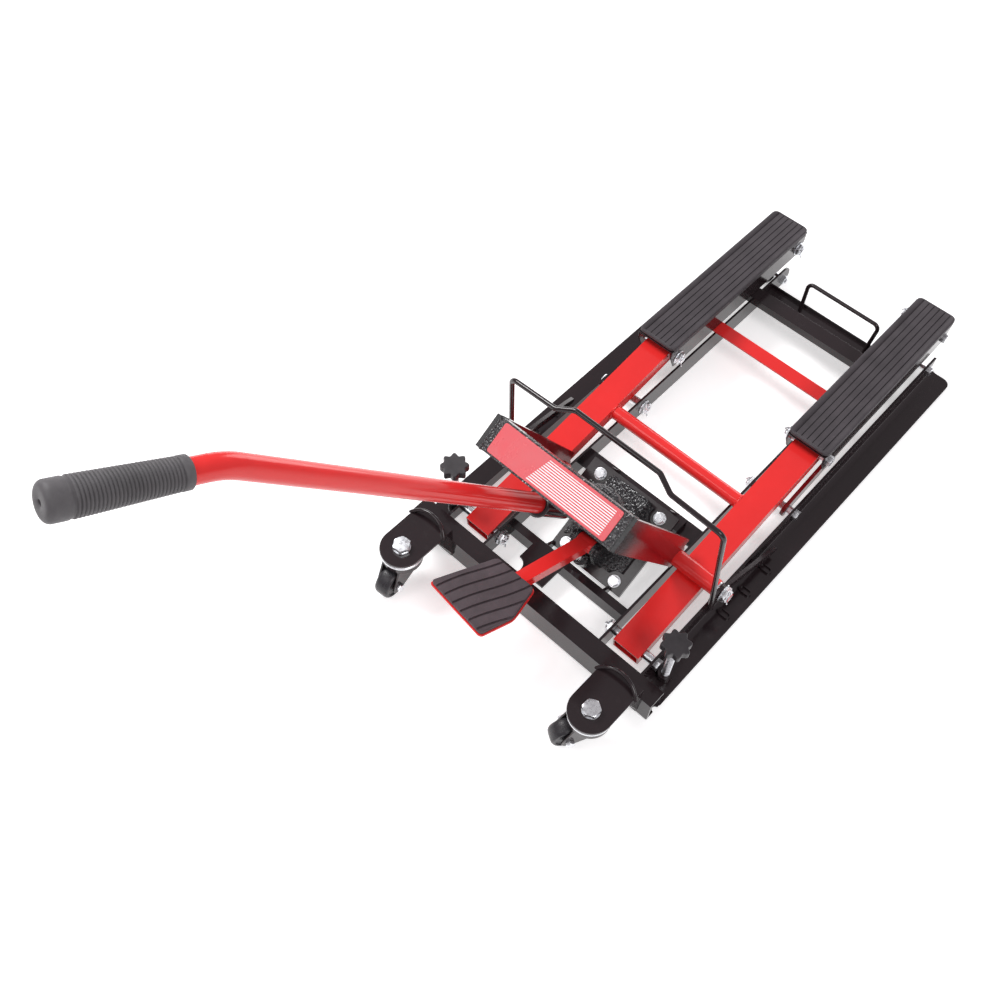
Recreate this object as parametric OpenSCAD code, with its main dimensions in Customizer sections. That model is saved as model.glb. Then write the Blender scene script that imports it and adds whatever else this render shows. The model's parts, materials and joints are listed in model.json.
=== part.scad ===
// Hydraulic lift jack for motorcycles and small vehicles: a low frame on casters, two lifting
// arms with parallel links, two padded saddles, an inclined foot-operated pump whose ram pushes
// a stirrup yoke, and a safety lock frame.
// Origin: on the floor, in the middle of the length and the width. +Y points to the rear.

/* [Overall] */
// Height of the pad tops with the jack lowered
pad_top_z = 115; // [112:1:122]
// Distance between the centre lines of the two saddles
saddle_spacing = 297; // [290:1:297]
// Distance from the front pivots to the rear pivots of each parallelogram
wheelbase_link = 348; // [330:1:360]

/* [Frame] */
// Width over the outer rail flanges
frame_w = 466; // [460:1:480]
// Thickness of the rail steel
rail_t = 4; // [3:0.5:5]
// Height of the inner rails
inner_rail_h = 42; // [38:1:43]
// Height of the outer rail walls
outer_rail_h = 36; // [32:1:40]
// Inner radius of the outer rail bend
rail_bend_r = 12; // [6:1:14]
// Ground clearance under the rails
ground_gap = 3; // [2:0.5:5]
// Depth of the front crossbar, front to rear
crossbar_d = 30; // [26:1:34]
// Height of the front crossbar
crossbar_h = 47; // [42:1:48]

/* [Arms and links] */
// Width of the arm tubes
arm_w = 46; // [40:1:47]
// Height of the arm tubes
arm_h = 25; // [22:1:26]
// Wall of the arm tubes
arm_wall = 2.5; // [2:0.5:4]
// Distance between the two pivots of an arm
arm_len = 432; // [420:1:440]
// Height of the front pivots above the floor
pivot_z = 21.5; // [21:0.5:24]
// Rise of the arms at rest, degrees
arm_rest_deg = 7.8; // [7:0.1:8.5]
// Diameter of the pivot bolts
pivot_bolt_d = 10; // [8:1:12]
// Width of the parallel links
link_h = 25; // [20:1:26]
// Thickness of the parallel links
link_t = 6; // [4:1:6]
// Diameter of the round cross tube between the arms
cross_tube_d = 24; // [20:1:28]

/* [Saddles] */
// Length of a saddle
saddle_len = 388; // [370:1:400]
// Width of a saddle channel outside its rubber pad
saddle_w = 70; // [68:1:71]
// Steel thickness of a saddle channel
saddle_t = 3; // [2:0.5:3]
// Depth of a saddle's side plates below the pad
saddle_side_h = 46; // [40:1:46]
// Thickness of the rubber pad over the saddle
pad_t = 8; // [5:1:10]
// Number of grooves along the pad
pad_grooves = 5; // [3:1:7]

/* [Lift shaft and yoke] */
// Diameter of the lift shafts on the arms
shaft_d = 27; // [24:1:28]
// Distance of the shafts behind the front pivots
shaft_back = 138; // [132:1:144]
// Distance from the shaft to the yoke's top face
yoke_len = 322; // [315:1:330]
// Width of the yoke box and its straps
yoke_w = 50; // [44:1:54]
// Depth of the yoke box along the ram
yoke_depth = 25; // [20:1:28]
// Thickness of the yoke straps
strap_t = 6; // [5:0.5:7]
// Lean of the yoke from the vertical, degrees
yoke_lean = 33.5; // [32:0.5:35]

/* [Pump] */
// Lean of the pump from the vertical, degrees
pump_lean = 29; // [28.5:0.5:29.5]
// Width of the pump's base plate
base_plate_w = 164; // [150:1:170]
// Diameter of the round pump casting
casting_d = 92; // [84:1:96]
// Outer diameter of the oil reservoir
reservoir_d = 72; // [66:1:74]
// Diameter of the ram
ram_d = 26; // [22:1:28]

/* [Handle and pedal] */
// Outer diameter of the handle tube
handle_d = 29; // [26:1:30]
// Length of the straight part of the handle
handle_straight = 532; // [500:1:540]
// Bend of the handle below its grip, degrees
handle_bend_deg = 19; // [10:1:30]
// Length of the grip
grip_len = 142; // [130:1:160]
// Largest diameter of the grip
grip_d = 41; // [36:1:43]
// Size of the pedal's square arm
pedal_arm_w = 21; // [18:1:23]
// Width of the foot pad
foot_pad_w = 106; // [100:1:112]

/* [Lock frame] */
// Length of a lock strut from the shaft to its tip
strut_len = 148; // [140:1:150]
// Diameter of the lock bail wire
bail_d = 8; // [6:1:9]

/* [Wheels and screws] */
// Radius of the caster wheels
caster_r = 25; // [22:1:26]
// Forward trail of the caster axles
caster_trail = 30; // [26:1:34]
// Radius of the rear wheels
rear_wheel_r = 22; // [20:1:23]
// Rod diameter of the levelling screws
screw_d = 12; // [10:1:14]
// Diameter of the star knobs
knob_d = 44; // [38:1:46]

/* [Hidden] */
$fn = 64;
eps = 0.01;                 // overshoot of a cut past a face
run_gap = 0.1;              // radial running clearance of a pin in its bore
hole_gap = 0.25;            // radial clearance of a fixed bolt in its hole
half_saddle = saddle_spacing / 2;

// Pivots, as [y, z]
front_pivot = [-121, pivot_z];
rear_pivot = front_pivot + [wheelbase_link, 0];
arm_dir = [cos(arm_rest_deg), sin(arm_rest_deg)];
arm_up = [-arm_dir[1], arm_dir[0]];
saddle_pivot = front_pivot + arm_len * arm_dir;
saddle_rear_pivot = saddle_pivot + [wheelbase_link, 0];
pivot_hole_r = pivot_bolt_d / 2 + run_gap;

// Rails
rail_in = half_saddle - arm_w / 2 - 13.5;       // inner face of the inner rails
rail_in_out = rail_in + rail_t;
wall_x = half_saddle + arm_w / 2 + link_t + 10.5;   // inner face of the outer rail walls
wall_out = wall_x + rail_t;
outer_rail_rear = 647;
inner_rail_rear = 650;
crossbar_front = -190;
crossbar_rear = crossbar_front + crossbar_d;
rail_front = crossbar_rear;
crossbar_top = ground_gap + crossbar_h;
flange_top = ground_gap + rail_t;
rail_hole_r = pivot_bolt_d / 2 + hole_gap;
bolt_head_r = pivot_bolt_d * 0.92;
axle_y = 630;

// Arms and links across the jack
arm_in = half_saddle - arm_w / 2 - 1;
arm_out = arm_in + arm_w;
link_in = arm_out + 2;
link_out = link_in + link_t;
arm_over = 15.5;                                // arm tube past the front pivot
arm_tail = 20;                                  // arm tube past the saddle pivot
bush_r = pivot_bolt_d / 2 + 4;

// Saddles
saddle_front = saddle_pivot[0] - 22;
saddle_rear = saddle_front + saddle_len;
steel_top = pad_top_z - pad_t;
saddle_low = pad_top_z - pad_t - saddle_side_h;

// Lift shaft, as [y, z]
shaft_r = shaft_d / 2;
shaft_seat = 0.8;                               // how far the shaft sinks into the arm's top
shaft_pos = front_pivot + shaft_back / arm_dir[0] * arm_dir
    + (arm_h / 2 + shaft_r - shaft_seat) * arm_up;
shaft_in = rail_in - 9;
shaft_out = wall_x + 2;
stud_r = 7;
strut_x = wall_out + 1.5;                       // inner face of a strut at the shaft
strut_t = 6;
strut_h = 14;
stud_out = strut_x + strut_t + 14;

// Yoke: its own frame has +Z along the yoke and its origin on the shaft
yoke_offset = 7;                                // yoke centre line behind the shaft
strap_out = rail_in + 3;
strap_in = strap_out - strap_t;
label_t = 1.2;

// Pump: its own frame has +Z along the ram and its origin under the base plate
pump_pos = [8, 45];
plate_t = 8;
plate_front = -86;
plate_rear = 62;
plate_notch = [-54, -15];                       // [x, y] of the inner corner of its front notch
pump_holes = [[62, -71], [-34, -71], [58, 45], [-58, 45]];  // [x, y] of the four bolts
bolt_room_r = 10.5;                             // room for a washer or a nut
pad_h = 8;
casting_top = 62;
reservoir_top = 125;
barrel_top = 285;
barrel_r = ram_d / 2 + 6;
ram_r = ram_d / 2;
ram_low = 150;
ram_high = 300;
head_top = 308.6;
lug_x = 7;                                      // middle of the pedal's lug pair
lug_in = pedal_arm_w / 2 + 4;                   // from there to a lug's inner face
lug_t = 6;
pedal_pivot = [-68, 80];                        // pedal pin, as [y, z]
pedal_pin_r = 5;
plunger_y = -73;
plunger_r = 7;
plunger_low = 24;
plunger_dome = 57.5;                            // centre of the plunger's domed end
leg_places = [-50.5, 62];                       // middles of the two legs
front_bar_y = -100;
rear_bar_y = 60;
bar_t = 4;
bar_top = 30;
channel_top = 45;

// Handle: its own frame has +Z up the tube and its origin inside the collar
handle_seat = [-39, -119, 196];
tube_lean = 45.9;
tube_turn = 16.8;
tube_roll = 16;                                 // plane of the bend, turned about the tube
tube_wall = 2;
bend_r = 110;
grip_gap = 21;                                  // bare tube between the bend and the grip
collar_low = 46;
collar_up = 18;
collar_r = handle_d / 2 + 3.7;
collar_floor = 10;
stem_r = 6;

// Pedal
pedal_skew = 13.9;                              // the pedal's arm points to the left
pedal_reach = 199;                              // from its hinge to its end
foot_pad_mid = [-35, -168];                     // middle of the foot pad from the hinge
pedal_plate_t = 4;
foot_pad_t = 9;

// Lock frame
strut_splay = 3.6;                              // outward splay of a strut, degrees
strut_drop = 16.5;                              // downward slope of a strut at rest, degrees
strut_nose = 24;

// Casters and levelling screws
caster_x = 181;
caster_y = -262;
bracket_top = 84;
bracket_t = 5;
bracket_r = 33;
fork_top = bracket_top - bracket_t - 9;
caster_bolt_r = 8;
rivet_r = 11;
caster_wheel_half = 12;
left_caster_turn = 6;
right_caster_turn = -32;
screw_x = wall_out + 18;
screw_y = -122;
knob_top = 119.5;

// ---- helpers -------------------------------------------------------------------------------

// Shows its children on the right side, or mirrored on the left
module side(right) {
    mirror([right ? 0 : 1, 0, 0]) children();
}

// Box given by its two opposite corners
module block(a, b) {
    translate(a) cube(b - a);
}

// Cylinder along X between two x values, at [y, z]
module x_cyl(x0, x1, p, r) {
    translate([x0, p[0], p[1]]) rotate([0, 90, 0]) cylinder(h = x1 - x0, r = r);
}

// Hexagonal prism along X between two x values, at [y, z]
module x_hex(x0, x1, p, r) {
    translate([x0, p[0], p[1]]) rotate([0, 90, 0]) cylinder(h = x1 - x0, r = r, $fn = 6);
}

// Ring along X round a bolt
module x_ring(x0, x1, p, r_out, r_in) {
    difference() {
        x_cyl(x0, x1, p, r_out);
        x_cyl(x0 - eps, x1 + eps, p, r_in);
    }
}

// Round rod between two points
module rod(a, b, r) {
    d = b - a;
    len = norm(d);
    translate(a)
        rotate([0, acos(d[2] / len), atan2(d[1], d[0])])
            cylinder(h = len, r = r);
}

function unit(v) = v / norm(v);

// Directions of a wire's straight stretches, and how much each bend takes off them
function wire_dirs(pts) = [for (i = [0:len(pts) - 2]) unit(pts[i + 1] - pts[i])];
function wire_turn(dirs, i) = acos(dirs[i - 1] * dirs[i]);
function wire_trim(dirs, i, bend) =
    i < 1 || i > len(dirs) - 1 ? 0 : bend * tan(wire_turn(dirs, i) / 2);

// Round wire through a list of points, with every corner bent to the same radius
module wire(pts, r, bend) {
    dirs = wire_dirs(pts);
    last = len(dirs) - 1;
    lap = 0.8;
    swell = 0.06;
    union() {
        for (i = [0:last])
            rod(pts[i] + (i > 0 ? wire_trim(dirs, i, bend) - lap : 0) * dirs[i],
                pts[i + 1] - (i < last ? wire_trim(dirs, i + 1, bend) - lap : 0) * dirs[i], r);
        for (i = [1:last]) {
            e1 = dirs[i - 1];
            n = unit(cross(e1, dirs[i]));
            e2 = cross(n, e1);
            c = pts[i] - wire_trim(dirs, i, bend) * e1 + bend * e2;
            multmatrix([
                [-e2[0], e1[0], n[0], c[0]], [-e2[1], e1[1], n[1], c[1]],
                [-e2[2], e1[2], n[2], c[2]], [0, 0, 0, 1]
            ]) rotate_extrude(angle = wire_turn(dirs, i)) translate([bend, 0]) circle(r = r + swell);
        }
    }
}

// Extrudes a [y, z] outline between two x values
module x_plate(x0, x1) {
    translate([x0, 0, 0]) rotate([90, 0, 90]) linear_extrude(height = x1 - x0) children();
}

// Places children in the arm's frame: origin on the front pivot, +Y along the arm
module arm_frame() {
    translate([0, front_pivot[0], front_pivot[1]]) rotate([arm_rest_deg, 0, 0]) children();
}

// Places children in the yoke's frame
module yoke_frame() {
    translate([0, shaft_pos[0], shaft_pos[1]]) rotate([yoke_lean, 0, 0])
        translate([0, yoke_offset, 0]) children();
}

// Places children in the pump's frame
module pump_frame() {
    translate([0, pump_pos[0], pump_pos[1]]) rotate([pump_lean, 0, 0]) children();
}

// Places children in the handle's frame: origin inside its collar, +Z up the tube
module handle_frame() {
    translate(handle_seat) rotate([0, 0, -tube_turn]) rotate([tube_lean, 0, 0])
        rotate([0, 0, tube_roll]) children();
}

// ---- frame ---------------------------------------------------------------------------------

// Rounded slab with its long axis along X
module oval(half_len, r, h) {
    for (x = [-half_len, half_len]) translate([x, 0, 0]) cylinder(h = h, r = r);
    block([-half_len, -r, 0], [half_len, r, h]);
}

// Oval rims on the right flange that a lock strut's tip drops behind
module lock_rims() {
    pitch = 53;
    for (i = [0:2]) translate([wall_out + 21, 18 + i * pitch, flange_top - eps]) difference() {
        oval(5, 6, 4);
        translate([0, 0, 1]) oval(5, 3.5, 4);
    }
}

// Right outer rail: wall, rounded bend and wide flange
module outer_rail() {
    half = frame_w / 2;
    bend_out = rail_bend_r + rail_t;
    corner_r = 14;
    color("black") difference() {
        union() {
            lock_rims();
            block([wall_x, rail_front, ground_gap + bend_out],
                  [wall_out, outer_rail_rear, ground_gap + outer_rail_h]);
            block([wall_x + bend_out, rail_front, ground_gap],
                  [half, outer_rail_rear, flange_top]);
            translate([wall_x + bend_out, outer_rail_rear, ground_gap + bend_out])
                rotate([90, 0, 0]) linear_extrude(height = outer_rail_rear - rail_front)
                    intersection() {
                        difference() {
                            circle(r = bend_out);
                            circle(r = rail_bend_r);
                        }
                        translate([-bend_out, -bend_out]) square(bend_out);
                    }
        }
        for (p = [front_pivot, rear_pivot, [axle_y, rear_wheel_r]]) {
            x_cyl(wall_x - 1, wall_out + 20, p, rail_hole_r);
            x_cyl(wall_out, wall_out + 20, p, bolt_head_r + 1);
        }
        translate([screw_x, screw_y, 0]) cylinder(h = 40, r = screw_d / 2 + 1);
        translate([half - corner_r, outer_rail_rear - corner_r, ground_gap - 1])
            difference() {
                cube([corner_r + 1, corner_r + 1, rail_t + 2]);
                cylinder(h = rail_t + 2, r = corner_r);
            }
    }
}

module left_outer_rail() side(false) outer_rail();
module right_outer_rail() side(true) outer_rail();

// Right inner rail: upright bar with rounded rear end
module inner_rail() {
    color("black") difference() {
        union() {
            block([rail_in, crossbar_rear, ground_gap],
                  [rail_in_out, inner_rail_rear - inner_rail_h / 2, ground_gap + inner_rail_h]);
            x_cyl(rail_in, rail_in_out,
                  [inner_rail_rear - inner_rail_h / 2, ground_gap + inner_rail_h / 2],
                  inner_rail_h / 2);
        }
        for (p = [front_pivot, rear_pivot, [axle_y, rear_wheel_r]])
            x_cyl(rail_in - 1, rail_in_out + 1, p, rail_hole_r);
    }
}

module left_inner_rail() side(false) inner_rail();
module right_inner_rail() side(true) inner_rail();

// Front crossbar: C channel open to the rear, below its top web
module front_crossbar() {
    half = frame_w / 2 - 1;
    color("black") difference() {
        block([-half, crossbar_front, ground_gap], [half, crossbar_rear, crossbar_top]);
        block([-half - 1, crossbar_front + rail_t, ground_gap + rail_t],
              [half + 1, crossbar_rear + 1, crossbar_top - rail_t]);
        for (s = [-1, 1]) translate([s * half, crossbar_rear - 10, ground_gap - 1])
            cylinder(h = rail_t + 2, r = 5);
    }
}

// Cross bars under the pump: a front angle with the pedal's rest plate, and a rear channel
module pump_bars() {
    y0 = front_bar_y;
    y1 = rear_bar_y;
    rest_x = -66;
    rest_w = 60;
    rest_d = 46;
    color("black") {
        union() {
            block([-rail_in, y0, ground_gap], [rail_in, y0 + bar_t, bar_top]);
            block([-rail_in, y0, bar_top - bar_t], [rail_in, y0 + 14, bar_top]);
            difference() {
                block([rest_x, y0 - rest_d, bar_top - bar_t], [rest_x + rest_w, y0 + 1, bar_top]);
                translate([rest_x, y0 - rest_d, 0]) cylinder(h = 40, r = 16);
            }
        }
        union() {
            block([-rail_in, y1 + 2, bar_top - bar_t], [rail_in, y1 + 37, bar_top]);
            difference() {
                block([-83, y1, bar_top - bar_t], [83, y1 + 28, channel_top]);
                block([-84, y1 + 3, bar_top - bar_t - 1], [84, y1 + 25, channel_top - 3]);
            }
        }
    }
}

// Rear cross channel: raised front ledge, groove and lower shelf
module rear_channel() {
    y0 = 520;
    half = rail_in + 25;
    color("black") union() {
        block([-half, y0, ground_gap + inner_rail_h], [half, y0 + 34, ground_gap + inner_rail_h + 3]);
        block([-half, y0, ground_gap + inner_rail_h], [half, y0 + 3, saddle_low - 1]);
        block([-half, y0, saddle_low - 4], [half, y0 + 28, saddle_low - 1]);
        block([-half, y0 + 25, ground_gap + inner_rail_h], [half, y0 + 28, saddle_low - 1]);
        block([-rail_in, y0 + 30, ground_gap + 20], [rail_in, y0 + 33, ground_gap + inner_rail_h + 3]);
        block([-rail_in, y0 + 30, ground_gap + 20], [rail_in, y0 + 78, ground_gap + 24]);
        block([-rail_in, y0 + 75, ground_gap + 20], [rail_in, y0 + 78, ground_gap + 30]);
    }
}

// Rear carrying bail on the shelf
module rear_bail() {
    foot = [-44, 584, ground_gap + 24];
    span = 134;
    rise = [-4, 8, 60];
    color("black") wire([
        foot, foot + rise, foot + [span - rise[0], rise[1], rise[2]], foot + [span, 0, 0]
    ], 3.5, 10);
}

// Right caster bracket: round-nosed plate, rear upstand and two gussets
module caster_bracket() {
    rear_y = crossbar_front - 0.05;
    low = bracket_top - bracket_t;
    color("black") difference() {
        union() {
            translate([caster_x, caster_y, low]) cylinder(h = bracket_t, r = bracket_r);
            block([caster_x - bracket_r, caster_y, low],
                  [caster_x + bracket_r, rear_y, bracket_top]);
            block([caster_x - bracket_r, rear_y - rail_t, ground_gap + 8],
                  [caster_x + bracket_r, rear_y, low + eps]);
            for (x = [caster_x - bracket_r, caster_x + bracket_r - rail_t])
                x_plate(x, x + rail_t)
                    polygon([[rear_y, low + eps], [rear_y - 30, low + eps],
                             [rear_y, ground_gap + 8]]);
        }
        translate([caster_x, caster_y, low - 1])
            cylinder(h = bracket_t + 2, r = caster_bolt_r + hole_gap);
    }
}

module left_caster_bracket() side(false) caster_bracket();
module right_caster_bracket() side(true) caster_bracket();

// Two rod loops on the caster brackets, where straps are tied down
module tie_down_loops() {
    loop_y = -209;
    half = 33;
    rise = 17;
    loop_r = (half * half + rise * rise) / (2 * rise);
    rod_r = 3;
    loop_lean = 50;
    color("black") for (s = [false, true]) side(s) intersection() {
        translate([caster_x, loop_y, bracket_top]) rotate([loop_lean, 0, 0])
            translate([0, rise - loop_r, 0]) rotate_extrude() translate([loop_r, 0])
                circle(r = rod_r, $fn = 32);
        block([caster_x - 40, loop_y - 60, bracket_top],
              [caster_x + 40, loop_y + 60, bracket_top + 60]);
    }
}

// Bolt with head outside the outer rail and nut inside the inner rail
module pivot_bolt(p) {
    head_h = pivot_bolt_d * 0.62;
    x_hex(wall_out, wall_out + head_h, p, bolt_head_r);
    x_cyl(rail_in - head_h - 3, wall_out + eps, p, pivot_bolt_d / 2);
    x_hex(rail_in - head_h, rail_in, p, bolt_head_r);
}

// Pivot bolts and rear axles, with their spacer tubes as separate solids
module pivot_bolts() {
    spacer_r = pivot_bolt_d / 2 + 3;
    spacer_in = pivot_bolt_d / 2 + run_gap;
    color("silver") for (s = [false, true]) side(s) {
        for (p = [front_pivot, rear_pivot, [axle_y, rear_wheel_r]]) pivot_bolt(p);
        x_ring(rail_in_out + 0.1, arm_in - 0.4, front_pivot, spacer_r, spacer_in);
        x_ring(arm_out + 0.4, wall_x - 0.1, front_pivot, spacer_r, spacer_in);
        x_ring(rail_in_out + 0.1, link_in - 0.4, rear_pivot, spacer_r, spacer_in);
        x_ring(link_out + 0.4, wall_x - 0.1, rear_pivot, spacer_r, spacer_in);
    }
}

// Threaded collars of the levelling screws, held just clear of the rail's bend
module levelling_collars() {
    lift = 1.3;
    color("black") for (s = [false, true]) side(s)
        translate([screw_x, screw_y, ground_gap]) difference() {
            union() {
                translate([0, 0, rail_t + lift]) cylinder(h = 12, r = screw_d / 2 + 5);
                cylinder(h = rail_t + lift + 1, r = screw_d / 2 + 0.9);
            }
            translate([0, 0, -1]) cylinder(h = 20, r = screw_d / 2 + run_gap / 2);
        }
}

// Caster bolts through brackets and forks, and the raceway rings between them
module caster_bolts() {
    head_r = 13.8;
    color("silver") for (s = [false, true]) side(s) translate([caster_x, caster_y, 0]) {
        translate([0, 0, fork_top - 10]) cylinder(h = bracket_top - fork_top + 10 + eps,
                                                  r = caster_bolt_r);
        translate([0, 0, bracket_top]) cylinder(h = 2, r = head_r - 1);
        translate([0, 0, bracket_top + 2 - eps]) cylinder(h = 8, r = head_r, $fn = 6);
        translate([0, 0, fork_top - 10]) cylinder(h = 5.5, r = rivet_r);
        difference() {
            translate([0, 0, fork_top + 0.3])
                cylinder(h = bracket_top - bracket_t - fork_top - 0.35, r = bracket_r - 1);
            translate([0, 0, fork_top - 1]) cylinder(h = 20, r = bracket_r - 11);
        }
    }
}

// ---- pump ----------------------------------------------------------------------------------

// Places children on each of the four bolts of the base plate
module at_pump_bolts() {
    pump_frame() for (h = pump_holes) translate([h[0], h[1], 0]) children();
}

// Inclined base plate with two side legs down to the cross bars
module pump_base_plate() {
    half = base_plate_w / 2;
    leg_t = 5;
    gap = 0.1;
    front_y = front_bar_y + bar_t + gap;
    under = bar_top - bar_t - gap;
    color("black") difference() {
        union() {
            pump_frame() difference() {
                block([-half, plate_front, 0], [half, plate_rear, plate_t]);
                block([-half - 1, plate_front - 1, -1], [plate_notch[0], plate_notch[1], 20]);
            }
            for (x = leg_places) x_plate(x - leg_t / 2, x + leg_t / 2)
                polygon([
                    [front_y, ground_gap + 3], [front_y, under], [front_y + 12, under],
                    [-62, 11], [58, 76], [66, 75], [86, channel_top + gap],
                    [rear_bar_y - gap, channel_top + gap], [rear_bar_y - gap, 26], [30, 26],
                    [-40, ground_gap + 3]
                ]);
        }
        at_pump_bolts() translate([0, 0, -30]) cylinder(h = 60, r = 5.3);
        at_pump_bolts() translate([0, 0, -30]) cylinder(h = 30 + eps, r = bolt_room_r);
        at_pump_bolts() translate([0, 0, plate_t]) cylinder(h = 20, r = bolt_room_r);
    }
}

// Pump casting: scalloped flange, round body, rear lugs, plunger housing and pedal lugs
module pump_casting() {
    scallop_r = 16;
    color("dimgray") difference() {
        union() {
            pump_frame() {
                difference() {
                    union() {
                        block([-46, -66, plate_t], [65, 0, plate_t + pad_h]);
                        block([-64, -12, plate_t], [65, 52, plate_t + pad_h]);
                    }
                    for (h = pump_holes) translate([h[0], h[1], 0]) cylinder(h = 40, r = scallop_r);
                }
                translate([0, 0, plate_t]) cylinder(h = casting_top - plate_t, r = casting_d / 2);
                block([-32, 30, plate_t], [5, 56, 36]);
                block([7, 26, plate_t], [36, 56, 42]);
                translate([lug_x, plunger_y, plate_t]) cylinder(h = 36, r = plunger_r + 5);
                block([lug_x - 9, plunger_y, plate_t], [lug_x + 9, -20, 34]);
            }
            difference() {
                for (m = [lug_x - lug_in - lug_t, lug_x + lug_in]) x_plate(m, m + lug_t) {
                    translate(pedal_pivot) circle(r = 11);
                    translate(pedal_pivot) polygon([[-11, 0], [2, -46], [40, -46], [11, 0]]);
                }
                pump_frame() translate([0, 0, -60]) cylinder(h = 70, r = 200);
            }
        }
        x_cyl(lug_x - 40, lug_x + 40, pedal_pivot, pedal_pin_r + hole_gap);
        x_cyl(lug_x - lug_in, lug_x + lug_in, pedal_pivot, pedal_arm_w / 2 + 1.5);
        pump_frame() translate([lug_x, plunger_y, plate_t + 6])
            cylinder(h = 60, r = plunger_r + run_gap);
        pump_frame() translate([0, 0, casting_top]) cylinder(h = 80, r = reservoir_d / 2 + 1);
    }
}

// Oil reservoir with a chamfered crown
module oil_reservoir() {
    r = reservoir_d / 2;
    crown = 6;
    color("dimgray") pump_frame() difference() {
        union() {
            translate([0, 0, casting_top])
                cylinder(h = reservoir_top - casting_top - crown, r = r);
            translate([0, 0, reservoir_top - crown]) cylinder(h = crown, r1 = r, r2 = r - crown);
        }
        translate([0, 0, casting_top + 20]) cylinder(h = 90, r = barrel_r);
    }
}

// Ram barrel with the gland at its top
module ram_barrel() {
    gland_h = 14;
    color("dimgray") pump_frame() difference() {
        union() {
            translate([0, 0, casting_top + 20.1])
                cylinder(h = barrel_top - casting_top - 20.1, r = barrel_r - 0.05);
            translate([0, 0, barrel_top - gland_h]) cylinder(h = gland_h, r = barrel_r + 4);
        }
        translate([0, 0, ram_low - 12]) cylinder(h = 200, r = ram_r + run_gap / 2);
    }
}

// Four bolts of the pump's base plate
module pump_bolts() {
    color("silver") at_pump_bolts() {
        translate([0, 0, plate_t]) cylinder(h = 2, r = 10);
        translate([0, 0, plate_t + 2 - eps]) cylinder(h = 6, r = 8.5, $fn = 6);
        translate([0, 0, -4]) cylinder(h = plate_t + 4 + eps, r = 5);
        translate([0, 0, -4.5]) cylinder(h = 4.4, r = 8.5, $fn = 6);
    }
}

// Boss and valve stem that the handle's collar turns on
module handle_boss() {
    gap = 0.02;
    color("dimgray") difference() {
        handle_frame() {
            translate([0, 0, -collar_low - 46]) cylinder(h = 45.7, r = 15);
            translate([0, 0, -collar_low - 1]) cylinder(h = collar_floor, r = stem_r);
        }
        pump_frame() {
            cylinder(h = reservoir_top + gap, r = reservoir_d / 2 + gap);
            cylinder(h = barrel_top, r = barrel_r + gap);
        }
    }
}

// Hinge pin of the pedal
module pedal_pin() {
    half = lug_in + lug_t;
    color("silver") {
        x_cyl(lug_x - half - 1, lug_x + half + 1, pedal_pivot, pedal_pin_r);
        x_cyl(lug_x + half + 0.2, lug_x + half + 4, pedal_pivot, pedal_pin_r + 3);
        x_cyl(lug_x - half - 4, lug_x - half - 0.2, pedal_pivot, pedal_pin_r + 3);
    }
}

// ---- lifting arms --------------------------------------------------------------------------

// Lift shaft volume on the right side, between two x values
module shaft_volume(x0, x1, r) {
    x_cyl(x0, x1, shaft_pos, r);
}

// Right arm: rectangular tube, open at the front, with welded pivot bushes
module arm() {
    w = arm_wall;
    color("red") difference() {
        union() {
            arm_frame() difference() {
                block([arm_in, -arm_over, -arm_h / 2], [arm_out, arm_len + arm_tail, arm_h / 2]);
                block([arm_in + w, -arm_over - 1, w - arm_h / 2],
                      [arm_out - w, arm_len + arm_tail - w, arm_h / 2 - w]);
            }
            for (p = [front_pivot, saddle_pivot]) x_cyl(arm_in + 1, arm_out - 1, p, bush_r);
        }
        for (p = [front_pivot, saddle_pivot]) x_cyl(arm_in - 1, arm_out + 1, p, pivot_hole_r);
        shaft_volume(arm_in - 1, arm_out + 1, shaft_r);
    }
}

module left_arm() side(false) arm();
module right_arm() side(true) arm();

// Round cross tube that joins the arms
module arm_cross_tube() {
    along = 284;
    color("red") arm_frame() translate([-arm_in, along, 0]) rotate([0, 90, 0]) difference() {
        cylinder(h = 2 * arm_in, r = cross_tube_d / 2 - 0.2);
        translate([0, 0, -1]) cylinder(h = 2 * arm_in + 2, r = cross_tube_d / 2 - 2.5);
    }
}

// Two shafts welded across the arms, each with a stud at its outer end
module lift_shafts() {
    color("red") for (s = [false, true]) side(s) {
        shaft_volume(shaft_in, shaft_out, shaft_r);
        shaft_volume(shaft_out - eps, stud_out, stud_r);
    }
}

// Washer, castle nut and split pin on each stud
module shaft_nuts() {
    nut_x = strut_x + strut_t + 0.8;
    r_in = stud_r + 0.05;
    color("silver") for (s = [false, true]) side(s) {
        x_ring(shaft_out + 0.05, shaft_out + 2.6, shaft_pos, 13, r_in);
        difference() {
            union() {
                x_hex(nut_x, nut_x + 7, shaft_pos, 12.5);
                x_cyl(nut_x + 7 - eps, nut_x + 11, shaft_pos, 10);
            }
            x_cyl(nut_x - 1, nut_x + 12, shaft_pos, r_in);
            for (a = [0:60:120]) translate([nut_x + 7.5, shaft_pos[0], shaft_pos[1]])
                rotate([a, 0, 0]) block([0, -14, -1.5], [8, 14, 1.5]);
        }
    }
}

// ---- parallel links ------------------------------------------------------------------------

// Right link: flat bar with a boss at each end
module link() {
    r = link_h / 2;
    color("darkred") difference() {
        union() {
            arm_frame() translate([0, wheelbase_link * arm_dir[0], -wheelbase_link * arm_dir[1]])
                block([link_in, 0, -r], [link_out, arm_len, r]);
            for (p = [rear_pivot, saddle_rear_pivot]) x_cyl(link_in, link_out, p, r + 0.8);
        }
        for (p = [rear_pivot, saddle_rear_pivot]) x_cyl(link_in - 1, link_out + 1, p, pivot_hole_r);
    }
}

module left_link() side(false) link();
module right_link() side(true) link();

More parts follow.
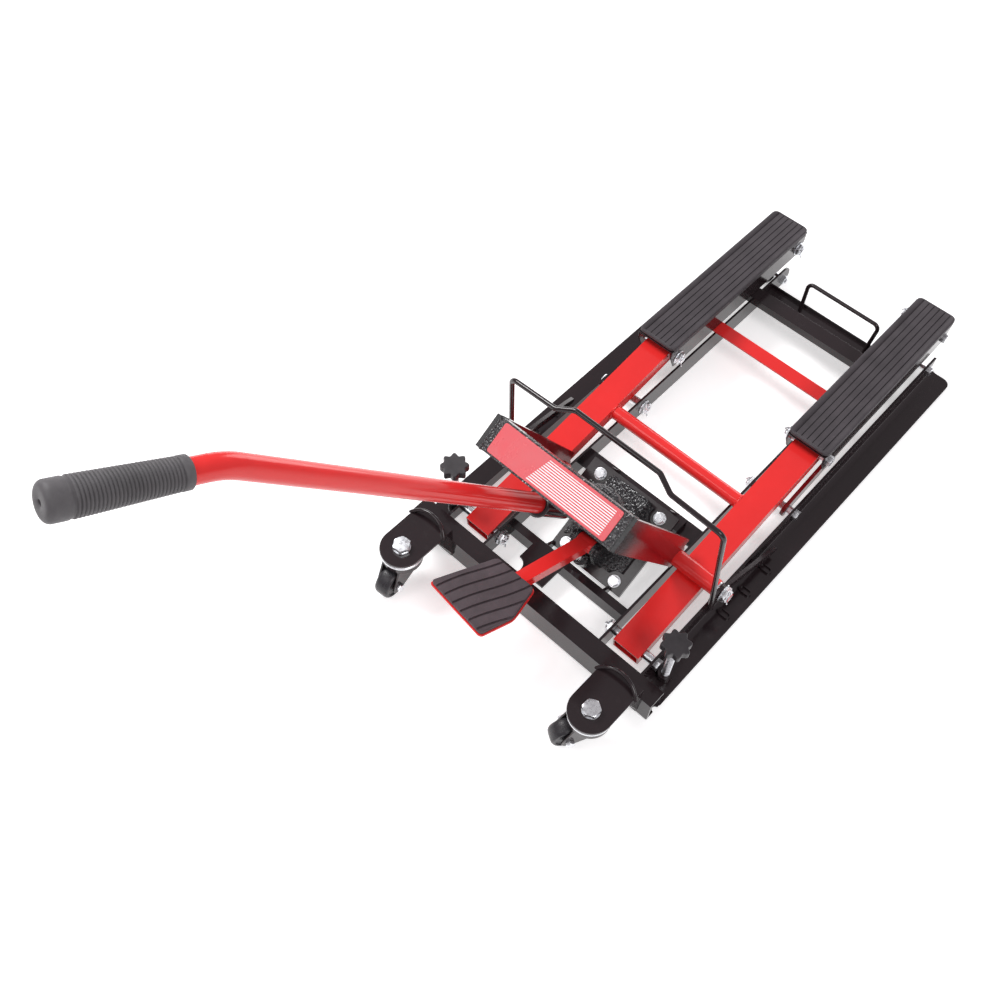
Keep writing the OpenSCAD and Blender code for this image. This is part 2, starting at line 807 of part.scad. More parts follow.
// Flat bar that ties the two links together
module link_tie_bar() {
    along = 190;
    bar_w = 24;
    top = link_h / 2 - 3;
    thick = 4;
    color("red") translate([0, rear_pivot[0], rear_pivot[1]]) rotate([arm_rest_deg, 0, 0])
        block([-link_in + 0.02, along, top - thick], [link_in - 0.02, along + bar_w, top]);
}

// ---- saddles -------------------------------------------------------------------------------

// Outline of a saddle's side plate as [y, z] points
function saddle_outline() = [
    [saddle_front, steel_top], [saddle_rear, steel_top], [saddle_rear, steel_top - 20],
    [saddle_rear - 12, saddle_low], [saddle_front + 14, saddle_low],
    [saddle_front, steel_top - 14]
];

// Right saddle: steel channel, open below
module saddle() {
    w = saddle_w / 2;
    color("black") difference() {
        x_plate(half_saddle - w, half_saddle + w) polygon(saddle_outline());
        block([half_saddle - w + saddle_t, saddle_front - 1, 0],
              [half_saddle + w - saddle_t, saddle_rear + 1, steel_top - saddle_t]);
        for (p = [saddle_pivot, saddle_rear_pivot])
            x_cyl(half_saddle - w - 1, half_saddle + w + 1, p, rail_hole_r);
    }
}

module left_saddle() side(false) saddle();
module right_saddle() side(true) saddle();

// Right saddle pad: rubber slab with grooves along it and a lip over each side
module saddle_pad() {
    w = saddle_w / 2;
    over = 1.2;
    lip = 5;
    edge_r = 4;
    groove_w = 1.6;
    groove_d = 1.4;
    y0 = saddle_front - 0.5;
    y1 = saddle_rear + 0.5;
    color("#2b282a") difference() {
        union() {
            block([half_saddle - w - over, y0, steel_top - lip],
                  [half_saddle + w + over, y1, pad_top_z - edge_r]);
            block([half_saddle - w - over + edge_r, y0, pad_top_z - edge_r - eps],
                  [half_saddle + w + over - edge_r, y1, pad_top_z]);
            for (s = [-1, 1]) translate([half_saddle + s * (w + over - edge_r), y1,
                                         pad_top_z - edge_r])
                rotate([90, 0, 0]) cylinder(h = y1 - y0, r = edge_r);
        }
        block([half_saddle - w - 0.05, y0 - 1, steel_top - lip - 1],
              [half_saddle + w + 0.05, y1 + 1, steel_top + 0.05]);
        for (i = [1:pad_grooves])
            translate([half_saddle - w + i * saddle_w / (pad_grooves + 1), 0, 0])
                block([-groove_w / 2, y0 + 8, pad_top_z - groove_d],
                      [groove_w / 2, y1 - 8, pad_top_z + 1]);
    }
}

module left_saddle_pad() side(false) saddle_pad();
module right_saddle_pad() side(true) saddle_pad();

// Right saddle's two pivot bolts with nuts and spacers
module saddle_bolts() {
    lo = half_saddle - saddle_w / 2;
    hi = half_saddle + saddle_w / 2;
    r = pivot_bolt_d / 2;
    spacer_r = r + 3;
    r_in = r + 0.1;
    color("silver") {
        for (p = [saddle_pivot, saddle_rear_pivot]) {
            x_hex(hi, hi + 6, p, 9);
            x_cyl(lo - 9, hi + eps, p, r);
            x_hex(lo - 6, lo, p, 9);
        }
        x_ring(lo + saddle_t + 0.1, arm_in - 0.4, saddle_pivot, spacer_r, r_in);
        x_ring(arm_out + 0.4, hi - saddle_t - 0.1, saddle_pivot, spacer_r, r_in);
        x_ring(lo + saddle_t + 0.1, link_in - 0.4, saddle_rear_pivot, spacer_r, r_in);
    }
}

module left_saddle_bolts() side(false) saddle_bolts();
module right_saddle_bolts() side(true) saddle_bolts();

// ---- yoke ----------------------------------------------------------------------------------

// Box across the top of the yoke: rectangular tube that the ram pushes on
module yoke_box() {
    wall = 4;
    color("#1d1c1d") yoke_frame() difference() {
        block([-strap_in + 0.02, -yoke_w / 2, yoke_len - yoke_depth],
              [strap_in - 0.02, yoke_w / 2, yoke_len]);
        block([-strap_in - 1, wall - yoke_w / 2, yoke_len - yoke_depth + wall],
              [strap_in + 1, yoke_w / 2 - wall, yoke_len - wall]);
    }
}

// Two straps from the box down to the lift shafts
module yoke_straps() {
    eye_r = shaft_r + 5.5;
    color("darkred") for (s = [false, true]) side(s) difference() {
        union() {
            yoke_frame() block([strap_in, -yoke_w / 2, 0], [strap_out, yoke_w / 2, yoke_len]);
            shaft_volume(strap_in, strap_out, eye_r);
        }
        shaft_volume(strap_in - 1, strap_out + 1, shaft_r + 0.15);
    }
}

// Label plate on the box's top face
module yoke_label() {
    color("#d8283a") yoke_frame()
        block([-98, -yoke_w / 2 + 3, yoke_len + 0.02], [97, yoke_w / 2 - 2.5, yoke_len + label_t]);
}

// ---- ram -----------------------------------------------------------------------------------

// Polished ram
module ram() {
    color("silver") pump_frame() translate([0, 0, ram_low])
        cylinder(h = ram_high - ram_low, r = ram_r);
}

// Slightly domed head that bears on the yoke's underside
module ram_head() {
    dome_r = 110;
    color("gray") pump_frame() intersection() {
        translate([0, 0, ram_high]) cylinder(h = 20, r = ram_r - 1);
        translate([0, 0, head_top - dome_r]) sphere(r = dome_r, $fn = 128);
    }
}

// ---- pedal ---------------------------------------------------------------------------------

// Places children in the pedal's frame: origin on the pin, -Y along the arm
module pedal_frame() {
    translate([lug_x, pedal_pivot[0], pedal_pivot[1]]) children();
}

// Square arm that turns on a bush, pointing forward and to the left
module pedal_arm() {
    w = pedal_arm_w / 2;
    bush = lug_in - 0.5;
    color("red") pedal_frame() difference() {
        union() {
            rotate([0, 0, -pedal_skew]) block([-w, -pedal_reach, -w], [w, 0, w]);
            rotate([0, 90, 0]) translate([0, 0, -bush]) cylinder(h = 2 * bush, r = w + 0.4);
        }
        x_cyl(-bush - 1, bush + 1, [0, 0], pedal_pin_r + run_gap);
    }
}

// Corners of the foot plate round its middle, seen from above
function foot_corners(inset) =
    let (k = 1 - inset * 2 / foot_pad_w)
    [[-80, -43] * k, [31, -55] * k, [48, -4] * k, [38, 52] * k, [-35, 52] * k];

// Outline of the foot plate with rounded corners
module foot_outline(inset) {
    c = foot_corners(inset);
    n = len(c);
    cut = 10;
    steps = 6;
    polygon([
        for (i = [0:n - 1])
            let (a = c[i] + cut * unit(c[(i + n - 1) % n] - c[i]),
                 b = c[i] + cut * unit(c[(i + 1) % n] - c[i]))
            for (k = [0:steps]) let (t = k / steps)
                (1 - t) * (1 - t) * a + 2 * t * (1 - t) * c[i] + t * t * b
    ]);
}

// Places children in the middle of the foot plate, on top of the pedal's arm
module on_pedal() {
    pedal_frame() translate([foot_pad_mid[0], foot_pad_mid[1], pedal_arm_w / 2]) children();
}

// Steel plate under the foot pad
module pedal_plate() {
    color("red") on_pedal() translate([0, 0, 0.02])
        linear_extrude(height = pedal_plate_t) foot_outline(0);
}

// Ribbed rubber foot pad
module pedal_pad() {
    grooves = 6;
    groove_turn = -22;
    spacing = 17;
    color("#2f2b2a") on_pedal() translate([0, 0, pedal_plate_t + 0.04]) difference() {
        linear_extrude(height = foot_pad_t) foot_outline(2);
        rotate([0, 0, groove_turn]) for (i = [1:grooves])
            translate([spacing * (i - (grooves + 1) / 2), 0, 0])
                block([-1.2, -foot_pad_w, foot_pad_t - 2], [1.2, foot_pad_w, foot_pad_t + 1]);
    }
}

// Pump plunger under the pedal's arm
module pump_plunger() {
    dome_r = plunger_r + 2;
    color("silver") pump_frame() intersection() {
        translate([lug_x, plunger_y, plunger_low])
            cylinder(h = plunger_dome - plunger_low + dome_r, r = plunger_r);
        union() {
            translate([lug_x, plunger_y, plunger_dome]) sphere(r = dome_r);
            translate([lug_x, plunger_y, 0]) cylinder(h = plunger_dome, r = plunger_r + 1);
        }
    }
}

// ---- handle --------------------------------------------------------------------------------

// Collar that holds the tube and turns on the valve stem
module handle_collar() {
    color("#232122") handle_frame() difference() {
        translate([0, 0, -collar_low]) cylinder(h = collar_low + collar_up, r = collar_r);
        translate([0, 0, -collar_low + collar_floor])
            cylinder(h = collar_low + collar_up, r = handle_d / 2 + 0.05);
        translate([0, 0, -collar_low - 1]) cylinder(h = 20, r = stem_r + run_gap);
    }
}

// Points of the tube in the handle's frame: lower end, corner of the bend, upper end
function handle_points(low, up) =
    let (trim = bend_r * tan(handle_bend_deg / 2), corner = [0, 0, handle_straight + trim])
    [[0, 0, low], corner,
     corner + (trim + up) * [0, -sin(handle_bend_deg), cos(handle_bend_deg)]];

// Places children at the end of the handle's bend, +Z on along the tube
module past_bend() {
    handle_frame() translate(handle_points(0, 0)[2]) rotate([handle_bend_deg, 0, 0]) children();
}

// Bent handle tube, closed by the grip
module handle_tube() {
    r = handle_d / 2;
    low = -collar_low + collar_floor + 0.1;
    color("red") handle_frame() difference() {
        wire(handle_points(low, grip_gap + grip_len - 12), r, bend_r);
        translate([0, 0, low - 1]) cylinder(h = handle_straight - low - 8, r = r - tube_wall);
    }
}

// Ribbed rubber grip with a rounded end
module handle_grip() {
    ribs = 20;
    r0 = handle_d / 2 + 2;
    r1 = grip_d / 2;
    smooth = 10;
    pitch = (grip_len - 3.4 * smooth) / ribs;
    dome = 7;
    color("#2c2c2e") past_bend() translate([0, 0, grip_gap]) rotate_extrude() difference() {
        union() {
            polygon([
                [0, 0], [r0 + 1, 0], [r0 + 1, smooth], [r0, smooth + 1],
                for (i = [0:ribs - 1], k = [0:3])
                    [r0 + (r1 - r0 - 1) * i / ribs + (k == 1 || k == 2 ? 1.1 : 0),
                     smooth + 1 + pitch * (i + [0, 0.25, 0.7, 0.95][k])],
                [r1 - 1, smooth + 1 + pitch * ribs], [r1, grip_len - 2 * smooth],
                [r1, grip_len - dome], [0, grip_len - dome]
            ]);
            translate([0, grip_len - dome]) intersection() {
                union() {
                    translate([r1 - dome, 0]) circle(r = dome);
                    translate([0, -1]) square([r1 - dome, dome + 1]);
                }
                translate([0, -1]) square([r1, dome + 1]);
            }
        }
        square([handle_d / 2 + 0.02, grip_len - 11.9]);
        translate([0, grip_len - 14]) square([3.5, 20]);
    }
}

// ---- lock frame ----------------------------------------------------------------------------

// Places children in the right strut's frame: origin on the shaft, +Y along the strut
module strut_frame() {
    translate([strut_x, shaft_pos[0], shaft_pos[1]]) rotate([-strut_drop, 0, 0])
        rotate([0, 0, -strut_splay]) children();
}

// Points of the bail on the right half, from its foot to the middle hump
function bail_points() = [[wall_out + 6, -6, 40], [wall_out - 6, -29, 262], [100, -36, 278], [73, -26, 289]];

module bail_wire() {
    right = bail_points();
    left = [for (i = [len(right) - 1:-1:0]) [-right[i][0], right[i][1], right[i][2]]];
    wire(concat(right, left), bail_d / 2, 14);
}

// Two struts that hang on the shaft studs and rest on the flanges' rims when raised
module lock_struts() {
    tip_r = 5;
    color("black") for (s = [false, true]) side(s) difference() {
        union() {
            strut_frame() x_plate(0, strut_t) {
                polygon([
                    [-strut_nose, -strut_h / 2], [-strut_nose, strut_h / 2],
                    [strut_len - 24, strut_h / 2], [strut_len - tip_r, tip_r],
                    [strut_len - tip_r, -tip_r], [strut_len - 24, -strut_h / 2]
                ]);
                translate([strut_len - tip_r, 0]) circle(r = tip_r);
            }
            x_cyl(strut_x, strut_x + strut_t, shaft_pos, 11.5);
        }
        x_cyl(strut_x - 4, strut_x, shaft_pos, 14);
        x_cyl(strut_x + strut_t, strut_x + strut_t + 4, shaft_pos, 14);
        x_cyl(strut_x - 5, strut_x + strut_t + 5, shaft_pos, stud_r + run_gap);
        bail_wire();
    }
}

// Wire bail that the struts are lifted by
module lock_bail() {
    color("black") bail_wire();
}

// ---- casters, rear wheels and levelling screws ---------------------------------------------

// Upright ring of sheet steel
module skirt(r, t, h) {
    difference() {
        cylinder(h = h, r = r);
        translate([0, 0, -1]) cylinder(h = h + 2, r = r - t);
    }
}

// Places children in a caster's frame: origin on the floor under its bolt
module caster_frame(right) {
    side(right) translate([caster_x, caster_y, 0])
        rotate([0, 0, right ? right_caster_turn : -left_caster_turn]) children();
}

// Pressed fork: round crown, two wide cheeks and a curved wall on the side away from the axle
module fork(right) {
    cheek_in = caster_wheel_half + 1.5;
    cheek_t = 3;
    crown_r = bracket_r - 2;
    crown_t = 4;
    boss_r = 12;
    axle = [-caster_trail, caster_r];
    color("#262425") caster_frame(right) difference() {
        union() {
            translate([0, 0, fork_top - crown_t]) cylinder(h = crown_t, r = crown_r);
            translate([0, 0, fork_top - crown_t - 7]) skirt(crown_r, cheek_t, 8);
            intersection() {
                translate([0, 0, 40]) skirt(crown_r, cheek_t, fork_top - crown_t - 39);
                block([-cheek_in - cheek_t, 0, 0], [cheek_in + cheek_t, crown_r + 1, fork_top]);
            }
            for (m = [-cheek_in - cheek_t, cheek_in]) x_plate(m, m + cheek_t) {
                polygon([
                    [-24, fork_top - 2], [24, fork_top - 2], [24, 42], [6, 26],
                    axle + [boss_r * 0.6, -boss_r * 0.8], axle - [boss_r * 0.98, -boss_r * 0.2]
                ]);
                translate(axle) circle(r = boss_r);
            }
        }
        x_cyl(-40, 40, axle, 4.2);
        translate([0, 0, fork_top - 20]) cylinder(h = 30, r = caster_bolt_r + run_gap);
        translate([0, 0, fork_top - 20]) cylinder(h = 20 - crown_t, r = rivet_r + 1);
    }
}

module left_caster_fork() fork(false);
module right_caster_fork() fork(true);

// Axle bolt of a caster wheel
module caster_axle(right) {
    p = [-caster_trail, caster_r];
    face = caster_wheel_half + 4.55;
    color("silver") caster_frame(right) {
        x_cyl(-face - 1, face + 1, p, 4);
        x_hex(face, face + 5, p, 7);
        x_hex(-face - 6, -face, p, 7);
    }
}

module left_caster_axle() caster_axle(false);
module right_caster_axle() caster_axle(true);

// Wheel turning about X, with a rounded tread
module wheel(r, half, bore) {
    round_r = 5;
    rotate([0, 90, 0]) rotate_extrude() difference() {
        union() {
            translate([0, -half]) square([r - round_r, 2 * half]);
            translate([0, round_r - half]) square([r, 2 * half - 2 * round_r]);
            for (s = [-1, 1]) translate([r - round_r, s * (half - round_r)]) circle(r = round_r);
        }
        translate([-eps, -half - 1]) square([bore + eps, 2 * half + 2]);
        for (s = [-1, 1]) translate([r * 0.38, s * half - 2.5]) square([r * 0.36, 5]);
    }
}

module left_caster_wheel() color("#232224") caster_frame(false)
    translate([0, -caster_trail, caster_r]) wheel(caster_r, caster_wheel_half, 4.1);
module right_caster_wheel() color("#232224") caster_frame(true)
    translate([0, -caster_trail, caster_r]) wheel(caster_r, caster_wheel_half, 4.1);

// Right rear wheel on its axle bolt between the rails
module rear_wheel() {
    color("#232224") translate([(rail_in_out + wall_x) / 2, axle_y, rear_wheel_r])
        wheel(rear_wheel_r, 20, pivot_bolt_d / 2 + run_gap);
}

module left_rear_wheel() side(false) rear_wheel();
module right_rear_wheel() side(true) rear_wheel();

// Right levelling screw: foot, rod and lobed knob
module levelling_screw() {
    lobes = 8;
    knob_h = 14;
    lobe_r = 5.4;
    core_r = knob_d / 2 - lobe_r;
    neck_h = 8;
    foot_z = 8;
    color("#28272a") translate([screw_x, screw_y, 0]) {
        translate([0, 0, foot_z - 1]) cylinder(h = 3, r1 = screw_d / 2 - 2, r2 = screw_d / 2);
        translate([0, 0, foot_z + 2 - eps])
            cylinder(h = knob_top - knob_h - foot_z - 2, r = screw_d / 2);
        translate([0, 0, knob_top - knob_h - neck_h]) cylinder(h = neck_h + eps, r = 9.5);
        translate([0, 0, knob_top - knob_h]) difference() {
            union() {
                cylinder(h = knob_h, r = core_r);
                for (i = [0:lobes - 1]) rotate([0, 0, i * 360 / lobes])
                    translate([core_r, 0, 0]) cylinder(h = knob_h, r = lobe_r, $fn = 32);
            }
        }
    }
}

module left_levelling_screw() side(false) levelling_screw();
module right_levelling_screw() side(true) levelling_screw();

// ---- nodes ---------------------------------------------------------------------------------

left_outer_rail();
right_outer_rail();
left_inner_rail();
right_inner_rail();
front_crossbar();
pump_bars();
rear_channel();
rear_bail();
left_caster_bracket();
right_caster_bracket();
tie_down_loops();
pivot_bolts();
levelling_collars();
pump_base_plate();
pump_casting();
oil_reservoir();
ram_barrel();
pump_bolts();
handle_boss();
pedal_pin();
caster_bolts();
left_arm();
right_arm();
arm_cross_tube();
lift_shafts();
shaft_nuts();
left_link();
right_link();
link_tie_bar();
left_saddle();
right_saddle();
left_saddle_pad();
right_saddle_pad();
left_saddle_bolts();
right_saddle_bolts();
yoke_box();
yoke_straps();
yoke_label();
ram();
ram_head();
pedal_arm();
pedal_plate();
pedal_pad();
pump_plunger();
handle_collar();
handle_tube();
handle_grip();
lock_struts();
lock_bail();
left_caster_fork();
right_caster_fork();
left_caster_axle();
right_caster_axle();
left_caster_wheel();
right_caster_wheel();
left_rear_wheel();
right_rear_wheel();
left_levelling_screw();
right_levelling_screw();
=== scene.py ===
import json
import math

import bpy
from mathutils import Matrix, Vector


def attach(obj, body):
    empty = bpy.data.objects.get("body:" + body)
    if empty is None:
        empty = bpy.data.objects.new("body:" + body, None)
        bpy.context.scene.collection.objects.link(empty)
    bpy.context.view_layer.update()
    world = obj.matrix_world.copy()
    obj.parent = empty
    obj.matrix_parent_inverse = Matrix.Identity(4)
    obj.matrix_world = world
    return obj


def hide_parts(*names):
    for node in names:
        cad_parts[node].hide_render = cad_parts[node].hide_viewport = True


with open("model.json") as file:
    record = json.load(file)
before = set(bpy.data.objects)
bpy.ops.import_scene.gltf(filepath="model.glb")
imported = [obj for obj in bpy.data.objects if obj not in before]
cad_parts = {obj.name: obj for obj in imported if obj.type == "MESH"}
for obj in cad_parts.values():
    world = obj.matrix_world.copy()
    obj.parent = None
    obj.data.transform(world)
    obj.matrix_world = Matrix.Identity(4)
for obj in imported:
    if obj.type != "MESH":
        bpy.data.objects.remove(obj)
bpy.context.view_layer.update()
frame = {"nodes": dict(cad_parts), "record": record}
NODES = frame["nodes"]

bl_info = {
    "name": "Floor Jack Finish",
    "version": (1, 0, 0),
    "blender": (4, 5, 0),
    "location": "View3D > Sidebar > Jack",
    "description": "Detail pieces, finishes and studio for a wheeled foot-pumped floor jack",
    "category": "Object",
}

MM = 0.001

# ---- places --------------------------------------------------------------------------------

def shift(x, y, z):
    """Translation by millimetres."""
    return Matrix.Translation((x * MM, y * MM, z * MM))


def turn(degrees, axis):
    """Rotation about X, Y or Z through the origin."""
    return Matrix.Rotation(math.radians(degrees), 4, axis)


ARM_TILT = 7.8                                           # degrees, arms lowered
SHAFT = (0, 13.58, 65.37)                                # lifting shafts' axis
PIVOTS = ((-121, 21.5), (227, 21.5))                     # (y, z) of the arm and link pivots
SADDLE_PINS = ((307, 80.13), (655, 80.13))               # (y, z) of the saddles' pins
YOKE = shift(*SHAFT) @ turn(33.5, "X") @ shift(0, 7, 0)  # +Z along the straps
HANDLE = shift(-39, -119, 196) @ turn(-16.8, "Z") @ turn(45.9, "X") @ turn(16, "Z")
TUBE_STRAIGHT, BEND_ANGLE, BEND_RADIUS = 532, 19, 110
BEND_TRIM = BEND_RADIUS * math.tan(math.radians(BEND_ANGLE / 2))
PAST_BEND = (HANDLE @ shift(0, 0, TUBE_STRAIGHT + BEND_TRIM) @ turn(BEND_ANGLE, "X")
             @ shift(0, 0, BEND_TRIM))
FOOT = shift(-28, -236, 90.5)                            # middle of the foot plate
ON_SHAFT = shift(*SHAFT) @ turn(ARM_TILT, "X")
SIDES = {"left": -1, "right": 1}
CASTER = {"left": shift(-181, -262, 0) @ turn(6, "Z"),
          "right": shift(181, -262, 0) @ turn(-32, "Z")}


# ---- modelling -----------------------------------------------------------------------------

def deselect():
    """Clears the selection, so that an operator acts on one piece."""
    if bpy.context.mode != "OBJECT":
        bpy.ops.object.mode_set(mode="OBJECT")
    bpy.ops.object.select_all(action="DESELECT")


def activate(piece):
    """Selects one piece alone."""
    deselect()
    piece.select_set(True)
    bpy.context.view_layer.objects.active = piece


def edit(piece, mode="FACE"):
    """Opens a piece in edit mode with everything selected."""
    activate(piece)
    bpy.ops.object.mode_set(mode="EDIT")
    bpy.ops.mesh.select_mode(type=mode)
    bpy.ops.mesh.select_all(action="SELECT")


def close_edit(merge=1e-6):
    """Merges doubles, points the faces outwards and leaves edit mode."""
    bpy.ops.mesh.select_all(action="SELECT")
    bpy.ops.mesh.remove_doubles(threshold=merge)
    bpy.ops.mesh.delete_loose()
    bpy.ops.mesh.select_all(action="SELECT")
    bpy.ops.mesh.normals_make_consistent(inside=False)
    bpy.ops.object.mode_set(mode="OBJECT")


def ease_edges(piece, width, segments=2, angle=35):
    """Rounds a piece's sharp edges by a width in millimetres and smooths its shading."""
    activate(piece)
    if width:
        bevel = piece.modifiers.new("Eased edges", "BEVEL")
        bevel.width = width * MM
        bevel.segments = segments
        bevel.limit_method = "ANGLE"
        bevel.angle_limit = math.radians(angle)
        bevel.use_clamp_overlap = False
        bevel.miter_outer = "MITER_ARC"
        bpy.ops.object.modifier_apply(modifier=bevel.name)
    bpy.ops.object.shade_smooth_by_angle(angle=math.radians(angle))
    weight = piece.modifiers.new("Weighted normals", "WEIGHTED_NORMAL")
    weight.keep_sharp = True
    bpy.ops.object.modifier_apply(modifier=weight.name)


def softened(corners, cut, steps=6):
    """A closed outline whose corners are rounded, each over the same distance."""
    outline = []
    for i, corner in enumerate(corners):
        corner = Vector(corner)
        before = Vector(corners[i - 1]) - corner
        after = Vector(corners[(i + 1) % len(corners)]) - corner
        first = corner + before.normalized() * cut
        last = corner + after.normalized() * cut
        for k in range(steps + 1):
            t = k / steps
            outline.append(first * (1 - t) ** 2 + corner * 2 * t * (1 - t) + last * t * t)
    return outline


def oblong(x0, y0, x1, y1, corner):
    """A rectangle's outline with rounded corners."""
    return softened([(x0, y0), (x1, y0), (x1, y1), (x0, y1)], corner)


def round_outline(points, reach):
    """An outline round Z, with its radius at each point given by a function of the point."""
    outline = []
    for i in range(points):
        angle = 2 * math.pi * i / points
        outline.append((reach(i) * math.cos(angle), reach(i) * math.sin(angle)))
    return outline


def ring_of_points(name, count, filled):
    """A circle primitive whose points a builder then places."""
    deselect()
    bpy.ops.mesh.primitive_circle_add(vertices=count,
                                      fill_type="NGON" if filled else "NOTHING")
    piece = bpy.context.object
    piece.name = piece.data.name = name
    return piece


def extruded(name, outline, low, high, place=Matrix(), ease=0.0, segments=2):
    """Extrudes an outline of (x, y) millimetres from low to high along its place's Z."""
    piece = ring_of_points(name, len(outline), True)
    for point, (x, y) in zip(piece.data.vertices, outline):
        point.co = (x * MM, y * MM, low * MM)
    edit(piece)
    bpy.ops.mesh.extrude_region_move(
        TRANSFORM_OT_translate={"value": (0, 0, (high - low) * MM)})
    close_edit()
    ease_edges(piece, ease, segments)
    piece.data.transform(place)
    return piece


def turned(name, profile, place=Matrix(), steps=48, smooth=35):
    """Spins a closed profile of (radius, height) millimetres round its place's Z."""
    piece = ring_of_points(name, len(profile), False)
    for point, (radius, height) in zip(piece.data.vertices, profile):
        point.co = (radius * MM, 0, height * MM)
    edit(piece, "EDGE")
    bpy.ops.mesh.spin(steps=steps, angle=2 * math.pi, center=(0, 0, 0), axis=(0, 0, 1))
    close_edit(2e-6)
    activate(piece)
    bpy.ops.object.shade_smooth_by_angle(angle=math.radians(smooth))
    piece.data.transform(place)
    return piece


def merged(node, flatten=True):
    """A copy of a CAD node with its doubled points merged and its flat faces made whole."""
    piece = bpy.data.objects.new(node + "_finished", NODES[node].data.copy())
    bpy.context.scene.collection.objects.link(piece)
    edit(piece)
    bpy.ops.mesh.customdata_custom_splitnormals_clear()
    bpy.ops.mesh.remove_doubles(threshold=2e-6)
    if flatten:
        bpy.ops.mesh.dissolve_limited(angle_limit=math.radians(0.6))
    bpy.ops.object.mode_set(mode="OBJECT")
    return piece


def refined(node, ease=0.6, segments=2, flatten=True):
    """A merged copy of a CAD node with its edges eased."""
    piece = merged(node, flatten)
    ease_edges(piece, ease, segments)
    return piece


def tube_refined(node, corner, ease, long_edge=0.1):
    """A merged copy of a drawn tube: wide corners along it and fine ones at its ends."""
    piece = merged(node)
    mesh = piece.data
    weights = mesh.attributes.new("bevel_weight_edge", "FLOAT", "EDGE")
    for edge in mesh.edges:
        ends = [mesh.vertices[i].co for i in edge.vertices]
        is_long = (ends[0] - ends[1]).length > long_edge
        weights.data[edge.index].value = 1.0 if is_long else ease / corner
    sharp = sharp_edges(mesh)
    for edge in mesh.edges:
        if edge.index not in sharp:
            weights.data[edge.index].value = 0.0
    activate(piece)
    bevel = piece.modifiers.new("Drawn corners", "BEVEL")
    bevel.width = corner * MM
    bevel.segments = 3
    bevel.limit_method = "WEIGHT"
    bevel.use_clamp_overlap = True
    bpy.ops.object.modifier_apply(modifier=bevel.name)
    ease_edges(piece, 0)
    return piece


def sharp_edges(mesh, angle=35):
    """Indices of the edges whose two faces meet at more than an angle."""
    faces = {}
    for face in mesh.polygons:
        for key in face.edge_keys:
            faces.setdefault(key, []).append(face.normal)
    limit = math.cos(math.radians(angle))
    return {edge.index for edge in mesh.edges
            if len(faces.get(edge.key, ())) == 2
            and faces[edge.key][0].dot(faces[edge.key][1]) < limit}


def carve(piece, tools, operation="DIFFERENCE"):
    """Cuts a piece with other closed pieces, which are used up."""
    for tool in tools:
        activate(piece)
        cutter = piece.modifiers.new("Cut", "BOOLEAN")
        cutter.operation = operation
        cutter.solver = "EXACT"
        cutter.object = tool
        bpy.ops.object.modifier_apply(modifier=cutter.name)
        bpy.data.objects.remove(tool)
    return piece


def joined(name, pieces):
    """Joins several meshes into one named piece."""
    deselect()
    for piece in pieces:
        piece.select_set(True)
    bpy.context.view_layer.objects.active = pieces[0]
    if len(pieces) > 1:
        bpy.ops.object.join()
    pieces[0].name = pieces[0].data.name = name
    return pieces[0]


def bead(a, b, radius):
    """A straight run of weld with overlapping ripples between two points in millimetres."""
    a, b = Vector(a), Vector(b)
    length = (b - a).length
    ripples = max(3, round(length / (radius * 0.8)))
    profile = [(0, 0)]
    for i in range(ripples):
        for part, swell in ((0.1, 0.84), (0.45, 1.0), (0.8, 0.93)):
            profile.append((radius * swell, length * (i + part) / ripples))
    profile.append((0, length))
    place = shift(*a) @ (b - a).to_track_quat("Z", "Y").to_matrix().to_4x4()
    return turned("Bead", profile, place, 14, 60)


def bead_ring(place, ring_radius, radius):
    """A round run of weld with overlapping ripples."""
    deselect()
    bpy.ops.mesh.primitive_torus_add(major_radius=ring_radius * MM, minor_radius=radius * MM,
                                     major_segments=120, minor_segments=12)
    piece = bpy.context.object
    ripples = round(2 * math.pi * ring_radius / (radius * 0.9))
    for point in piece.data.vertices:
        flat = Vector((point.co.x, point.co.y, 0))
        spine = flat.normalized() * ring_radius * MM
        swell = 0.92 + 0.1 * math.sin(ripples * math.atan2(flat.y, flat.x))
        point.co = spine + (point.co - spine) * swell
    bpy.ops.object.shade_smooth()
    piece.data.transform(place)
    return piece


def rod(a, b, radius, vertices=20):
    """A plain round bar between two points in millimetres."""
    a, b = Vector(a), Vector(b)
    profile = [(0, 0), (radius * 0.8, 0), (radius, radius * 0.2),
               (radius, (b - a).length - radius * 0.2), (radius * 0.8, (b - a).length),
               (0, (b - a).length)]
    place = shift(*a) @ (b - a).to_track_quat("Z", "Y").to_matrix().to_4x4()
    return turned("Rod", profile, place, vertices)


def hex_head(radius, height, place):
    """A hexagon head or nut with turned-down corners."""
    head = extruded("Hexagon", round_outline(6, lambda i: radius), 0, height)
    cone = turned("Cone", [(0, 0), (radius * 0.93, 0), (radius, 0.9), (radius, height - 1.3),
                           (radius * 0.86, height), (0, height)])
    carve(head, [cone], "INTERSECT")
    ease_edges(head, 0.25)
    head.data.transform(place)
    return head


